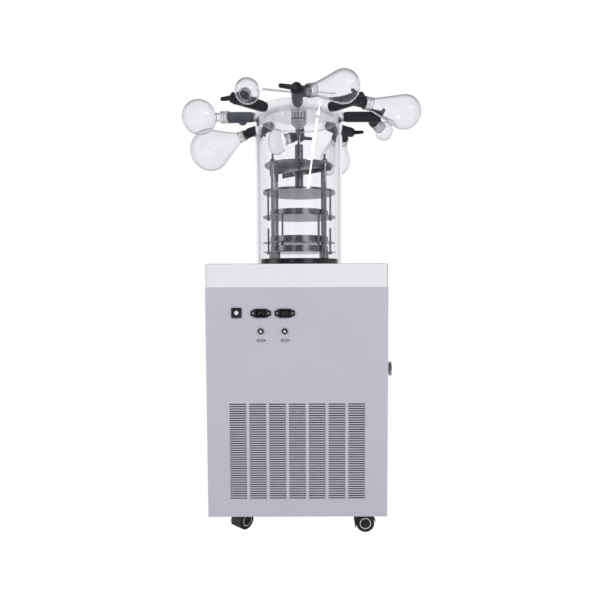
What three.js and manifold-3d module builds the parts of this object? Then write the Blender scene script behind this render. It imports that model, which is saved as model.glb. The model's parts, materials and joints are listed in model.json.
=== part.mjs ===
// Top-press freeze dryer with an eight-port drying chamber: floor-standing cabinet on casters,
// clear chamber with a stoppering rack, and eight rubber valves that each carry a glass flask.
// Millimetres, +Z up. The origin is on the floor under the chamber axis; the service side
// (sockets and grille) faces -Y and the operator's side faces +Y.
import * as THREE from 'three';
import Module from 'manifold-3d';
import { mergeVertices } from 'three/addons/utils/BufferGeometryUtils.js';

const wasm = await Module();
wasm.setup();

// ---------------------------------------------------------------- driving dimensions
const SEAT = 0.3;                       // gap left where two pieces touch
const RUN = 0.5;                        // gap round something that slides or turns

// cabinet
const CABINET = { width: 450, depth: 600, height: 635, sheet: 1.5, lip: 14 };
const HOOD = { skirt: 58, wall: 2, edge: 4 };
const BASE = { plate: 2, lip: 18 };

// casters
const CASTER = {
  height: 60, wheel: 23.5, tread: 14, trail: 17, insetX: 68, insetY: 52, web: 5, axle: 4, stem: 5,
};
const CASTER_YAW = { rear_left: 50, rear_right: 0, front_left: 155, front_right: 25 };

// grille of horizontal slots in the service panel
const GRILLE = { columns: 7, rows: 42, slot: 41.8, gapHeight: 3, pitchX: 49.3, pitchZ: 5.82, low: 46.5 };

// sockets on the service panel, as distances from the panel's middle and from the hood's top
const SIGNAL = { x: -148.5, down: 120.5, side: 25, thick: 3, barrel: 9, hole: 4 };
const MAINS = { down: 121.5, wide: 50, tall: 22.4, ear: 11, thick: 3, cavity: [24, 16], depth: 14 };
const MAINS_X = { inlet: -88.5, outlet: -29.5 };
const FUSE = { down: 166, x: [-89, -30], bezel: 7.6, stand: 5, barrel: 6, length: 26 };

// operator's side
const SCREEN = { wide: 172, tall: 112, bezel: 10, thick: 5, body: 18, down: 150 };
const SWITCH = { x: 150, wide: 19, tall: 27, thick: 9, tilt: 7 };

// vacuum connection on the side, a 25 mm clamp flange
const PORT = { y: -150, z: 408, bore: 12.5, tube: 14.5, flange: 20, reach: 30, collar: 26 };

// refrigeration inside the cabinet
const TRAP = { bore: 110, wall: 1.5, depth: 230, rim: 137, rimThick: 3 };
const COIL = { wide: 345, tall: 288, thick: 44, fins: 17, fin: 2.4, behind: 22 };
const FAN = { radius: 98, hub: 26, hubLength: 24, blades: 5, shaft: 4, shroud: 26 };
const POT = { radius: 86, height: 215, foot: 4, y: 130 };

// drying chamber, heights from the hood's top
const CHAMBER = { radius: 129, wall: 10, height: 457, plate: 12, ring: 17, ringDepth: 29 };
const NOZZLE = { count: 8, height: 441, radius: 8, bore: 5, reach: 31, collar: 13, collarThick: 4 };
const GLAND = { nut: 23, cone: 9, drop: 24, above: 13 };

// stoppering rack, heights from the hood's top
const POST = { x: 73, y: 61, yaw: 0, radius: 5.5, foot: 11, nut: 8, nutHeight: 7, thread: 3.6, top: 318 };
const FOOT_PLATE = { radius: 116, hole: 62, thick: 16 };
const HEAD = { radius: 103, plate: 3, top: 296, beamWide: 60, beamDeep: 18, beamLength: 214, sheet: 3 };
const PRESS = { radius: 108, thick: 6, bottom: 213, boss: 15, bossHeight: 16 };
const SHELF = { radius: 109, thick: 2, tray: 87, trayWall: 1.5, trayHeight: 18 };
const SHELF_LEVEL = { lower: 38, middle: 66, upper: 142 };
const HANGER = { orbit: 93.5, radius: 3.2, nut: 5, nutHeight: 5, play: 3 };
const SCREW = { radius: 12.5, top: 359, journal: 7, journalLength: 10, socket: 45 };
const HANDLE = { rod: 4.5, rise: 36, bar: 3.2, barLength: 212, boss: 9, bossHeight: 22, yaw: 16 };

// rubber valve: run along the nozzle, branch that carries the flask, tap in the far end
const VALVE = { end: 236, run: 15, mouth: 13.5, root: 210, lean: 60, branch: 14, reach: 34 };
const THROUGH = { end: 208, branchAt: 172, arm: 30 };
const TAP = { plug: 8, depth: 30, slant: 8, collar: 14, collarThick: 7, lever: 46, leverWide: 11, leverThick: 7 };
const PLUG = { radius: 14.4, into: 4, lip: 1.5 };
const GLASS = { neck: 17.5, neckLength: 24, waist: 11, wall: 2.2 };
const BULB = { one: 51, two: 64, three: 32, four: 41, five: 46.5, six: 29, seven: 50, eight: 45 };
const CENTRE = { one: 88, two: 158, three: 100, four: 135, five: 152, six: 112, seven: 148, eight: 110 };

// Eight ports round the chamber, counted from the left: roll is the droop of the outlet, and
// lever is the turn of the tap's lever against the outlet.
const PORTS = [
  { azimuth: 180, roll: 0, lever: 0, shape: 'waisted', bulb: BULB.one, centre: CENTRE.one, straight: true },
  { azimuth: 135, roll: -30, lever: 30, shape: 'pear', bulb: BULB.two, centre: CENTRE.two },
  { azimuth: -135, roll: -6, lever: 0, shape: 'round', bulb: BULB.three, centre: CENTRE.three },
  { azimuth: -90, roll: -5, lever: 0, shape: 'pear', bulb: BULB.four, centre: CENTRE.four },
  { azimuth: -45, roll: -9, lever: 0, shape: 'pear', bulb: BULB.five, centre: CENTRE.five },
  { azimuth: 0, roll: -9, lever: 0, shape: 'round', bulb: BULB.six, centre: CENTRE.six },
  { azimuth: 45, roll: -33, lever: 40, shape: 'pear', bulb: BULB.seven, centre: CENTRE.seven },
  { azimuth: 90, roll: -4, lever: 6, shape: 'round', bulb: BULB.eight, centre: CENTRE.eight },
];

const HOOD_TOP = CASTER.height + CABINET.height;
const HALF_WIDTH = CABINET.width / 2;
const HALF_DEPTH = CABINET.depth / 2;
const PANEL_TOP = HOOD_TOP - HOOD.skirt - SEAT;
const BASE_TOP = CASTER.height + BASE.plate;
const INSIDE = CABINET.sheet + SEAT;

// ---------------------------------------------------------------- helpers
/** Turns a closed three.js geometry into a solid that can be joined and cut. */
function solid(shape) {
  if (!shape.isBufferGeometry) return shape;
  const bare = shape.index ? shape.toNonIndexed() : shape.clone();
  bare.deleteAttribute('normal');
  bare.deleteAttribute('uv');
  const merged = mergeVertices(bare, 1e-4);
  const triangles = [];
  const index = merged.index.array;
  for (let i = 0; i < index.length; i += 3) {
    const [a, b, c] = [index[i], index[i + 1], index[i + 2]];
    if (a !== b && b !== c && c !== a) triangles.push(a, b, c);
  }
  return new wasm.Manifold(new wasm.Mesh({
    numProp: 3,
    vertProperties: new Float32Array(merged.attributes.position.array),
    triVerts: new Uint32Array(triangles),
  }));
}

/** Joins any number of closed shapes into one solid. */
function join(first, ...others) {
  return others.reduce((body, other) => body.add(solid(other)), solid(first));
}

/** Cuts the other shapes out of the first. */
function cut(first, ...others) {
  return others.reduce((body, other) => body.subtract(solid(other)), solid(first));
}

/** Turns a solid back into a three.js geometry with flat-shaded faces. */
function geometryOf(body) {
  const mesh = body.getMesh();
  const geometry = new THREE.BufferGeometry();
  geometry.setAttribute('position', new THREE.BufferAttribute(new Float32Array(mesh.vertProperties), 3));
  geometry.setIndex(new THREE.BufferAttribute(new Uint32Array(mesh.triVerts), 1));
  geometry.computeVertexNormals();
  return geometry;
}

/** Box from its lowest corner and its size. */
function boxAt(x, y, z, wide, deep, tall) {
  return new THREE.BoxGeometry(wide, deep, tall).translate(x + wide / 2, y + deep / 2, z + tall / 2);
}

/** Box centred on the Z axis, standing on height z. */
function block(wide, deep, tall, z = 0) {
  return boxAt(-wide / 2, -deep / 2, z, wide, deep, tall);
}

/** Round bar along +Z, standing on height z. */
function rod(radius, length, z = 0, sides = 16) {
  return new THREE.CylinderGeometry(radius, radius, length, sides).rotateX(Math.PI / 2)
    .translate(0, 0, z + length / 2);
}

/** Radius of a faceted hole whose flats still clear the radius given. */
function clear(radius, sides) {
  return radius / Math.cos(Math.PI / sides);
}

/** Solid of revolution about +Z from [radius, height] points, closed along the axis or on itself. */
function revolve(points, sides = 32) {
  const onAxis = points[0][0] === 0 && points[points.length - 1][0] === 0;
  const loop = onAxis ? points : [...points, points[0]];
  let area = 0;
  points.forEach(([r, z], i) => {
    const [nextR, nextZ] = points[(i + 1) % points.length];
    area += r * nextZ - nextR * z;
  });
  const profile = (area > 0 ? loop : [...loop].reverse()).map(([r, z]) => new THREE.Vector2(r, z));
  return new THREE.LatheGeometry(profile, sides).rotateX(Math.PI / 2);
}

/** Points of an arc in the [radius, height] plane, angles in degrees from the radius axis. */
function arc(centreR, centreZ, radius, from, to, steps) {
  return Array.from({ length: steps + 1 }, (_, i) => {
    const angle = THREE.MathUtils.degToRad(from + (to - from) * i / steps);
    return [centreR + radius * Math.cos(angle), centreZ + radius * Math.sin(angle)];
  });
}

/** Outline of a rectangle centred on (x, y), with rounded corners where a radius is given. */
function rectangle(wide, tall, radius = 0, x = 0, y = 0, Kind = THREE.Shape) {
  const outline = new Kind();
  const [right, top] = [x + wide / 2, y + tall / 2];
  const [left, low] = [x - wide / 2, y - tall / 2];
  outline.moveTo(left + radius, low);
  outline.lineTo(right - radius, low);
  if (radius) outline.absarc(right - radius, low + radius, radius, -Math.PI / 2, 0);
  outline.lineTo(right, top - radius);
  if (radius) outline.absarc(right - radius, top - radius, radius, 0, Math.PI / 2);
  outline.lineTo(left + radius, top);
  if (radius) outline.absarc(left + radius, top - radius, radius, Math.PI / 2, Math.PI);
  outline.lineTo(left, low + radius);
  if (radius) outline.absarc(left + radius, low + radius, radius, Math.PI, Math.PI * 1.5);
  return outline;
}

/** Slab of an outline, standing on height z. */
function slab(outline, tall, z = 0, curveSegments = 3) {
  return new THREE.ExtrudeGeometry(outline, { depth: tall, bevelEnabled: false, curveSegments })
    .translate(0, 0, z);
}

/** Turns a slab drawn flat so that its face looks along -Y and its drawing's Y becomes Z. */
function facingService(shape) {
  return shape.rotateX(Math.PI / 2);
}

const finishes = {
  paint: () => new THREE.MeshStandardMaterial({ color: 0xd3d2dc, roughness: 0.45, metalness: 0.1 }),
  hood: () => new THREE.MeshStandardMaterial({ color: 0xe6e8ec, roughness: 0.4, metalness: 0.1 }),
  zinc: () => new THREE.MeshStandardMaterial({ color: 0xa7a9ad, roughness: 0.4, metalness: 0.8 }),
  steel: () => new THREE.MeshStandardMaterial({ color: 0xc9cacd, roughness: 0.18, metalness: 1 }),
  darkSteel: () => new THREE.MeshStandardMaterial({ color: 0x2c2e33, roughness: 0.3, metalness: 0.6 }),
  aluminium: () => new THREE.MeshStandardMaterial({ color: 0x9fb0c0, roughness: 0.45, metalness: 0.8 }),
  plastic: () => new THREE.MeshStandardMaterial({ color: 0x17181b, roughness: 0.45, metalness: 0 }),
  rubber: () => new THREE.MeshStandardMaterial({ color: 0x23262d, roughness: 0.6, metalness: 0 }),
  screen: () => new THREE.MeshStandardMaterial({ color: 0x0d0f14, roughness: 0.12, metalness: 0 }),
  acrylic: () => new THREE.MeshStandardMaterial({
    color: 0xf2f3f6, roughness: 0.06, metalness: 0, transparent: true, opacity: 0.3,
  }),
  glass: () => new THREE.MeshStandardMaterial({
    color: 0xf4f5f7, roughness: 0.03, metalness: 0, transparent: true, opacity: 0.3,
  }),
};

/** One named piece with a finish of its own. */
function piece(name, body, finish) {
  const mesh = new THREE.Mesh(geometryOf(solid(body)), finishes[finish]());
  mesh.name = name;
  return mesh;
}

// ---------------------------------------------------------------- cabinet
function makeBasePlate() {
  const wide = CABINET.width - 2 * INSIDE;
  const deep = CABINET.depth - 2 * INSIDE;
  const tray = cut(
    block(wide, deep, BASE.lip, CASTER.height),
    block(wide - 2 * BASE.plate, deep - 2 * BASE.plate, BASE.lip, BASE_TOP),
  );
  const stems = casterPlaces().map(({ x, y }) => rod(CASTER.stem + 2 * SEAT, 3 * BASE.plate, CASTER.height - 1, 8)
    .translate(x, y, 0));
  return piece('base_plate', cut(tray, ...stems), 'zinc');
}

/** Side sheet with an inward lip along each upright edge and along the top. */
function makeSidePanel(name, side) {
  const deep = CABINET.depth - 2 * INSIDE;
  const tall = PANEL_TOP - CASTER.height;
  const lipLow = CASTER.height + BASE.lip + 2 * SEAT;
  const lipTall = PANEL_TOP - lipLow;
  const outer = HALF_WIDTH - CABINET.sheet;
  const inner = HALF_WIDTH - CABINET.lip;
  let body = join(
    boxAt(outer, -deep / 2, CASTER.height, CABINET.sheet, deep, tall),
    boxAt(inner, -deep / 2, lipLow, CABINET.lip, CABINET.sheet, lipTall),
    boxAt(inner, deep / 2 - CABINET.sheet, lipLow, CABINET.lip, CABINET.sheet, lipTall),
    boxAt(inner, -deep / 2, PANEL_TOP - CABINET.sheet, CABINET.lip, deep, CABINET.sheet),
  );
  if (side > 0) {
    body = cut(body, rod(PORT.tube + SEAT, 20, -10, 24).rotateY(Math.PI / 2)
      .translate(HALF_WIDTH, PORT.y, PORT.z));
  }
  const mesh = piece(name, body, 'paint');
  if (side < 0) mesh.rotation.z = Math.PI;
  return mesh;
}

/** Stiffening lip along the top of a full-width panel, on its inner face. */
function panelLip() {
  const wide = CABINET.width - 2 * (CABINET.lip + 2 * SEAT);
  return boxAt(-wide / 2, -CABINET.lip, PANEL_TOP - CABINET.sheet, wide, CABINET.lip, CABINET.sheet);
}

/** Slots of the grille, as the boxes that cut them. */
function grilleSlots() {
  const slots = [];
  for (let column = 0; column < GRILLE.columns; column += 1) {
    const x = (column - (GRILLE.columns - 1) / 2) * GRILLE.pitchX;
    for (let row = 0; row < GRILLE.rows; row += 1) {
      const z = CASTER.height + GRILLE.low + row * GRILLE.pitchZ + GRILLE.gapHeight / 2;
      slots.push(window(x, z, GRILLE.slot, GRILLE.gapHeight));
    }
  }
  return slots;
}

/** Panel sheet with its lip, on the service side. */
function plainPanel() {
  return join(
    boxAt(-HALF_WIDTH, -HALF_DEPTH, CASTER.height, CABINET.width, CABINET.sheet, PANEL_TOP - CASTER.height),
    panelLip().translate(0, -HALF_DEPTH + CABINET.lip + CABINET.sheet / 2, 0),
  );
}

/** Opening through a panel on the service side, from its middle and its size. */
function window(x, z, wide, tall) {
  return boxAt(x - wide / 2, -HALF_DEPTH - 1, z - tall / 2, wide, CABINET.sheet + 2, tall);
}

/** Round opening through a panel on the service side. */
function porthole(radius, x, z) {
  return rod(radius, CABINET.sheet + 2, -1, 20).rotateX(-Math.PI / 2).translate(x, -HALF_DEPTH, z);
}

function makeRearPanel() {
  const [wide, tall] = MAINS.cavity;
  const room = 2 * (1.5 + SEAT);
  return piece('rear_panel', cut(
    plainPanel(),
    porthole(SIGNAL.barrel + SEAT, SIGNAL.x, HOOD_TOP - SIGNAL.down),
    ...Object.values(MAINS_X).map((x) => window(x, HOOD_TOP - MAINS.down, wide + room, tall + room)),
    ...FUSE.x.map((x) => porthole(FUSE.barrel + SEAT, x, HOOD_TOP - FUSE.down)),
    ...grilleSlots(),
  ), 'paint');
}

function makeFrontPanel() {
  const frame = 2 * (SCREEN.bezel - SEAT);
  const mesh = piece('front_panel', cut(
    plainPanel(),
    window(0, HOOD_TOP - SCREEN.down, SCREEN.wide - frame, SCREEN.tall - frame),
    window(-SWITCH.x, HOOD_TOP - SCREEN.down, SWITCH.wide + 2 * RUN, SWITCH.tall + 2 * RUN),
  ), 'paint');
  mesh.rotation.z = Math.PI;
  return mesh;
}

/** Lift-off top cover: a shallow box with softened edges and a round mouth over the cold trap. */
function makeHood() {
  const grow = HOOD.edge;
  const cover = new THREE.ExtrudeGeometry(
    rectangle(CABINET.width - 2 * grow, CABINET.depth - 2 * grow, grow),
    { depth: HOOD.skirt, bevelEnabled: true, bevelThickness: grow, bevelSize: grow, bevelSegments: 2,
      curveSegments: 2 },
  ).translate(0, 0, HOOD_TOP - grow - HOOD.skirt);
  const below = block(2 * CABINET.width, 2 * CABINET.depth, 2 * HOOD.skirt, HOOD_TOP - 3 * HOOD.skirt);
  const hollow = block(CABINET.width - 2 * HOOD.wall, CABINET.depth - 2 * HOOD.wall, HOOD.skirt,
    HOOD_TOP - HOOD.skirt - HOOD.wall);
  const mouth = rod(TRAP.bore + TRAP.wall + SEAT, 4 * HOOD.wall, HOOD_TOP - 2 * HOOD.wall, 24);
  return piece('top_hood', cut(cover, below, hollow, mouth), 'hood');
}

function makeScreen() {
  const z = HOOD_TOP - SCREEN.down;
  const face = new THREE.ExtrudeGeometry(rectangle(SCREEN.wide - 4, SCREEN.tall - 4, 3), {
    depth: SCREEN.thick - 2, bevelEnabled: true, bevelThickness: 1, bevelSize: 2, bevelSegments: 1,
    curveSegments: 2,
  }).translate(0, 0, 1);
  const glass = slab(rectangle(SCREEN.wide - 2 * SCREEN.bezel, SCREEN.tall - 2 * SCREEN.bezel), 2,
    SCREEN.thick - 1);
  const inside = 2 * SCREEN.bezel;
  const body = slab(rectangle(SCREEN.wide - inside, SCREEN.tall - inside), SCREEN.body + 1, -SCREEN.body);
  const mesh = piece('touch_screen', facingService(geometryOf(join(cut(face, glass), body))), 'screen');
  mesh.position.set(0, HALF_DEPTH + SEAT, z);
  mesh.rotation.z = Math.PI;
  return mesh;
}

/** Rocker key, drawn about its pivot and resting on its lower end. */
function makeSwitch() {
  const half = SWITCH.tall / 2;
  const outline = new THREE.Shape();
  outline.moveTo(-half + RUN, -SWITCH.thick / 2);
  outline.lineTo(half - RUN, -SWITCH.thick / 2);
  outline.lineTo(half - RUN, SWITCH.thick / 2);
  outline.quadraticCurveTo(0, SWITCH.thick / 4, -half + RUN, SWITCH.thick / 2);
  const key = slab(outline, SWITCH.wide, -SWITCH.wide / 2, 4).rotateY(-Math.PI / 2);
  const mesh = piece('power_switch', key, 'plastic');
  mesh.position.set(SWITCH.x, HALF_DEPTH + 1, HOOD_TOP - SCREEN.down);
  mesh.rotation.x = THREE.MathUtils.degToRad(SWITCH.tilt);
  return mesh;
}

// ---------------------------------------------------------------- sockets and port
/** Places a socket drawn facing -Y on the service panel. */
function onServicePanel(mesh, x, down) {
  mesh.position.set(x, -HALF_DEPTH - SEAT, HOOD_TOP - down);
  return mesh;
}

function makeSignalSocket() {
  const plate = slab(rectangle(SIGNAL.side, SIGNAL.side, 2), SIGNAL.thick, 0, 1);
  const barrel = rod(SIGNAL.barrel, 20, -18, 12);
  const bore = rod(SIGNAL.hole, 14, -6, 10);
  const pin = rod(1, 8, -7, 6);
  const body = join(cut(join(plate, barrel), bore), pin);
  return onServicePanel(piece('signal_socket', facingService(geometryOf(body)), 'plastic'),
    SIGNAL.x, SIGNAL.down);
}

/** Mains appliance socket: an eared flange with a deep cavity; the inlet has pins, the outlet slots. */
function makeMainsSocket(name, x, isInlet) {
  const half = MAINS.wide / 2;
  const [wide, tall] = MAINS.cavity;
  const shoulder = wide / 2 + 3.5;
  const outline = new THREE.Shape();
  outline.moveTo(-shoulder + 3, -MAINS.tall / 2);
  outline.lineTo(shoulder - 3, -MAINS.tall / 2);
  outline.lineTo(half, -MAINS.ear / 2);
  outline.lineTo(half, MAINS.ear / 2);
  outline.lineTo(shoulder - 3, MAINS.tall / 2);
  outline.lineTo(-shoulder + 3, MAINS.tall / 2);
  outline.lineTo(-half, MAINS.ear / 2);
  outline.lineTo(-half, -MAINS.ear / 2);
  const shell = slab(rectangle(wide + 3, tall + 3), MAINS.depth + 4, -MAINS.depth - 4);
  const cavity = slab(rectangle(wide, tall, 2), MAINS.depth + 4, -MAINS.depth, 1);
  const contacts = [[-7, -2], [0, 2], [7, -2]];
  const screwHoles = [-1, 1].map((side) => rod(1.7, 3 * MAINS.thick, -MAINS.thick, 8)
    .translate(side * (half - 5), 0, 0));
  let body = cut(join(slab(outline, MAINS.thick), shell), cavity, ...screwHoles);
  if (isInlet) {
    body = join(body, ...contacts.map(([px, pz]) => block(2, 4, MAINS.depth - 1, -MAINS.depth - 1)
      .translate(px, pz, 0)));
  } else {
    const core = cut(
      slab(rectangle(wide - 3, tall - 3), MAINS.depth + 1, -MAINS.depth - 1),
      ...contacts.map(([px, pz]) => block(2.4, 4.4, MAINS.depth + 4, -MAINS.depth + 2).translate(px, pz, 0)),
    );
    body = join(body, core);
  }
  return onServicePanel(piece(name, facingService(geometryOf(body)), 'plastic'), x, MAINS.down);
}

function makeFuseHolder(name, x) {
  const profile = [
    [0, -FUSE.length], [FUSE.barrel, -FUSE.length], [FUSE.barrel, 0], [FUSE.bezel, 0],
    [FUSE.bezel, FUSE.stand - 2], [FUSE.bezel - 1.6, FUSE.stand - 1], [FUSE.barrel - 0.6, FUSE.stand],
    [FUSE.barrel - 0.6, FUSE.stand + 2], [0, FUSE.stand + 2],
  ];
  const body = cut(revolve(profile, 12), block(7, 1.4, 4, FUSE.stand));
  return onServicePanel(piece(name, facingService(geometryOf(body)), 'plastic'), x, FUSE.down);
}

/** Clamp-flange vacuum port through the side sheet, drawn along +Z. */
function makeVacuumPort() {
  const profile = [
    [PORT.bore, -PORT.reach], [PORT.tube, -PORT.reach], [PORT.tube, SEAT], [PORT.collar, SEAT],
    [PORT.collar, 3], [PORT.tube, 3], [PORT.tube, PORT.reach - 8], [PORT.flange, PORT.reach - 4],
    [PORT.flange, PORT.reach], [PORT.bore + 1, PORT.reach], [PORT.bore, PORT.reach - 3],
  ];
  const mesh = piece('vacuum_port', revolve(profile, 14), 'steel');
  mesh.position.set(HALF_WIDTH, PORT.y, PORT.z);
  mesh.rotation.y = Math.PI / 2;
  return mesh;
}

// ---------------------------------------------------------------- refrigeration
/** Cold trap: a deep cup hung in the hood's mouth by its rim. */
function makeColdTrap() {
  const rimLow = HOOD_TOP + SEAT;
  const rimTop = rimLow + TRAP.rimThick;
  const floor = rimTop - TRAP.depth;
  const outer = TRAP.bore + TRAP.wall;
  const profile = [
    [0, floor], [outer - 8, floor], [outer, floor + 8], [outer, rimLow], [TRAP.rim, rimLow],
    [TRAP.rim, rimTop], [TRAP.bore, rimTop], [TRAP.bore, floor + 8 + TRAP.wall],
    [TRAP.bore - 8, floor + TRAP.wall], [0, floor + TRAP.wall],
  ];
  return piece('cold_trap', revolve(profile, 24), 'steel');
}

/** Finned condenser behind the grille, with its fan shroud and the motor on three arms. */
function makeCondenser() {
  const low = BASE_TOP + SEAT;
  const front = -HALF_DEPTH + COIL.behind;
  const back = front + COIL.thick;
  const outline = new THREE.Shape();
  outline.moveTo(-COIL.wide / 2, back);
  outline.lineTo(-COIL.wide / 2, front);
  const pitch = (COIL.wide - COIL.fin) / (COIL.fins - 1);
  const root = back - 8;
  for (let i = 0; i < COIL.fins; i += 1) {
    const x = -COIL.wide / 2 + i * pitch;
    if (i > 0) {
      outline.lineTo(x, root);
      outline.lineTo(x, front);
    }
    outline.lineTo(x + COIL.fin, front);
    if (i < COIL.fins - 1) outline.lineTo(x + COIL.fin, root);
  }
  outline.lineTo(COIL.wide / 2, back);
  const core = slab(outline, COIL.tall, low);
  const middle = low + COIL.tall / 2;
  const throat = (radius, from, length) => rod(radius, length, 0, 18).rotateX(-Math.PI / 2)
    .translate(0, from, middle);
  const shroudWall = boxAt(-COIL.wide / 2, back - 1, low, COIL.wide, FAN.shroud + 1, COIL.tall);
  const hollow = boxAt(-COIL.wide / 2 + 2, back, low + 2, COIL.wide - 4, FAN.shroud - 2, COIL.tall - 4);
  const shroud = cut(shroudWall, hollow, throat(FAN.radius + 6, back, FAN.shroud + 4));
  const armY = back + FAN.shroud + FAN.hubLength;
  const arms = [90, 210, 330].flatMap((angle) => {
    const turn = THREE.MathUtils.degToRad(angle);
    const reach = FAN.radius + 12;
    const arm = boxAt(0, armY, -5, reach, 4, 10).rotateY(-turn).translate(0, 0, middle);
    const leg = boxAt(reach - 6, back + FAN.shroud - 1, -5, 6, FAN.hubLength + 5, 10).rotateY(-turn)
      .translate(0, 0, middle);
    return [arm, leg];
  });
  const motor = throat(28, armY, 46);
  const shaft = throat(FAN.shaft, armY - FAN.hubLength + 2, FAN.hubLength);
  return piece('condenser', join(core, shroud, ...arms, motor, shaft), 'aluminium');
}

/** Axial fan: a hub with pitched blades, drawn about +Z. */
function makeFan() {
  const blade = new THREE.Shape();
  blade.moveTo(FAN.hub - 4, -9);
  blade.quadraticCurveTo(FAN.radius * 0.6, -34, FAN.radius * Math.cos(0.26), -FAN.radius * Math.sin(0.26));
  blade.absarc(0, 0, FAN.radius, -0.26, 0.3, false);
  blade.quadraticCurveTo(FAN.radius * 0.6, 24, FAN.hub - 4, 9);
  const blades = Array.from({ length: FAN.blades }, (_, i) => slab(blade, 1.6, -0.8, 3)
    .rotateX(THREE.MathUtils.degToRad(18))
    .rotateZ(i * 2 * Math.PI / FAN.blades));
  const hub = rod(FAN.hub, FAN.hubLength - 6, -(FAN.hubLength - 6) / 2, 16);
  const bore = rod(FAN.shaft + RUN, FAN.hubLength, -FAN.hubLength / 2, 10);
  const mesh = piece('fan_blade', cut(join(hub, ...blades), bore), 'plastic');
  const back = -HALF_DEPTH + COIL.behind + COIL.thick;
  mesh.position.set(0, back + FAN.shroud + FAN.hubLength / 2 - 1, BASE_TOP + SEAT + COIL.tall / 2);
  mesh.rotation.x = -Math.PI / 2;
  return mesh;
}

function makeCompressor() {
  const { radius, height, foot } = POT;
  const profile = [
    [0, 14], [radius - 22, 14], [radius - 8, 22], [radius, 40], [radius, height * 0.48],
    [radius + 4, height * 0.5], [radius, height * 0.52],
    [radius, height - 50], [radius - 12, height - 20], [radius - 40, height - 4], [0, height],
  ];
  const feet = [0, 1, 2, 3].map((i) => rod(11, 16, 0, 6).translate(radius, 0, 0)
    .rotateZ(Math.PI / 4 + i * Math.PI / 2));
  const cross = [0, 1].map((i) => block(2 * radius, 26, foot, 12).rotateZ(Math.PI / 4 + i * Math.PI / 2));
  const stub = rod(6, 30, 0, 12).rotateX(Math.PI / 2).translate(0, -radius + 4, height * 0.75);
  const mesh = piece('compressor', join(revolve(profile, 14), ...feet, ...cross, stub), 'darkSteel');
  mesh.position.set(0, POT.y, BASE_TOP + SEAT);
  return mesh;
}

// ---------------------------------------------------------------- casters
function casterPlaces() {
  const x = HALF_WIDTH - CASTER.insetX;
  const y = HALF_DEPTH - CASTER.insetY;
  return [
    { corner: 'rear_left', x: -x, y: -y }, { corner: 'rear_right', x, y: -y },
    { corner: 'front_left', x: -x, y }, { corner: 'front_right', x, y },
  ];
}

/** Swivelling hood of a twin-wheel caster: stem at the origin, wheels trailing along +X. */
function makeCasterFork(corner) {
  const top = CASTER.height - SEAT;
  const half = CASTER.web / 2 + CASTER.tread + RUN;
  const inner = CASTER.wheel + 1.5;
  const outer = inner + 2.5;
  const [from, to] = [THREE.MathUtils.degToRad(12), THREE.MathUtils.degToRad(205)];
  const upright = (outline, wide) => slab(outline, wide, -wide / 2, 3).rotateX(Math.PI / 2)
    .translate(CASTER.trail, 0, CASTER.wheel);
  const hood = new THREE.Shape();
  hood.absarc(0, 0, outer, from, to, false);
  hood.absarc(0, 0, inner, to, from, true);
  const web = new THREE.Shape();
  web.absarc(0, 0, outer, from, to, false);
  web.lineTo(-9, -8);
  web.lineTo(9, -8);
  const room = new THREE.Shape();
  room.absarc(0, 0, inner, from, to, false);
  const head = cut(join(rod(11, top - 34, 34, 8), rod(16, 3, top - 3, 8)), upright(room, 80));
  const axleHole = rod(clear(CASTER.axle + SEAT, 8), 20, -10, 8).rotateX(Math.PI / 2)
    .translate(CASTER.trail, 0, CASTER.wheel);
  const stem = rod(CASTER.stem, 16, top - 2, 6);
  const body = cut(join(head, upright(hood, 2 * half), upright(web, CASTER.web), stem), axleHole);
  return piece(`caster_fork_${corner}`, body, 'plastic');
}

/** Twin wheels on one axle, drawn about +Z and laid across the caster. */
function makeCasterWheels(corner) {
  const inner = CASTER.web / 2 + RUN;
  const outer = inner + CASTER.tread - RUN;
  const r = CASTER.wheel;
  const side = [
    [CASTER.axle, inner], [r, inner], [r, outer - 2.5], [r - 2.5, outer], [0, outer],
  ];
  const profile = [...[...side].reverse().map(([radius, z]) => [radius, -z]), ...side];
  const mesh = piece(`caster_wheels_${corner}`, revolve(profile, 14), 'rubber');
  mesh.position.set(CASTER.trail, 0, CASTER.wheel);
  mesh.rotation.x = Math.PI / 2;
  return mesh;
}

function makeCaster({ corner, x, y }) {
  const caster = new THREE.Group();
  caster.add(makeCasterFork(corner), makeCasterWheels(corner));
  caster.position.set(x, y, 0);
  caster.rotation.z = THREE.MathUtils.degToRad(CASTER_YAW[corner]);
  return caster;
}

// ---------------------------------------------------------------- drying chamber
const CHAMBER_FOOT = TRAP.rimThick + 2 * SEAT;       // heights below are from the hood's top
const FRAME_FOOT = CHAMBER_FOOT + FOOT_PLATE.thick + SEAT;
const GLAND_TOP = CHAMBER.height + GLAND.above - 4;

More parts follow.
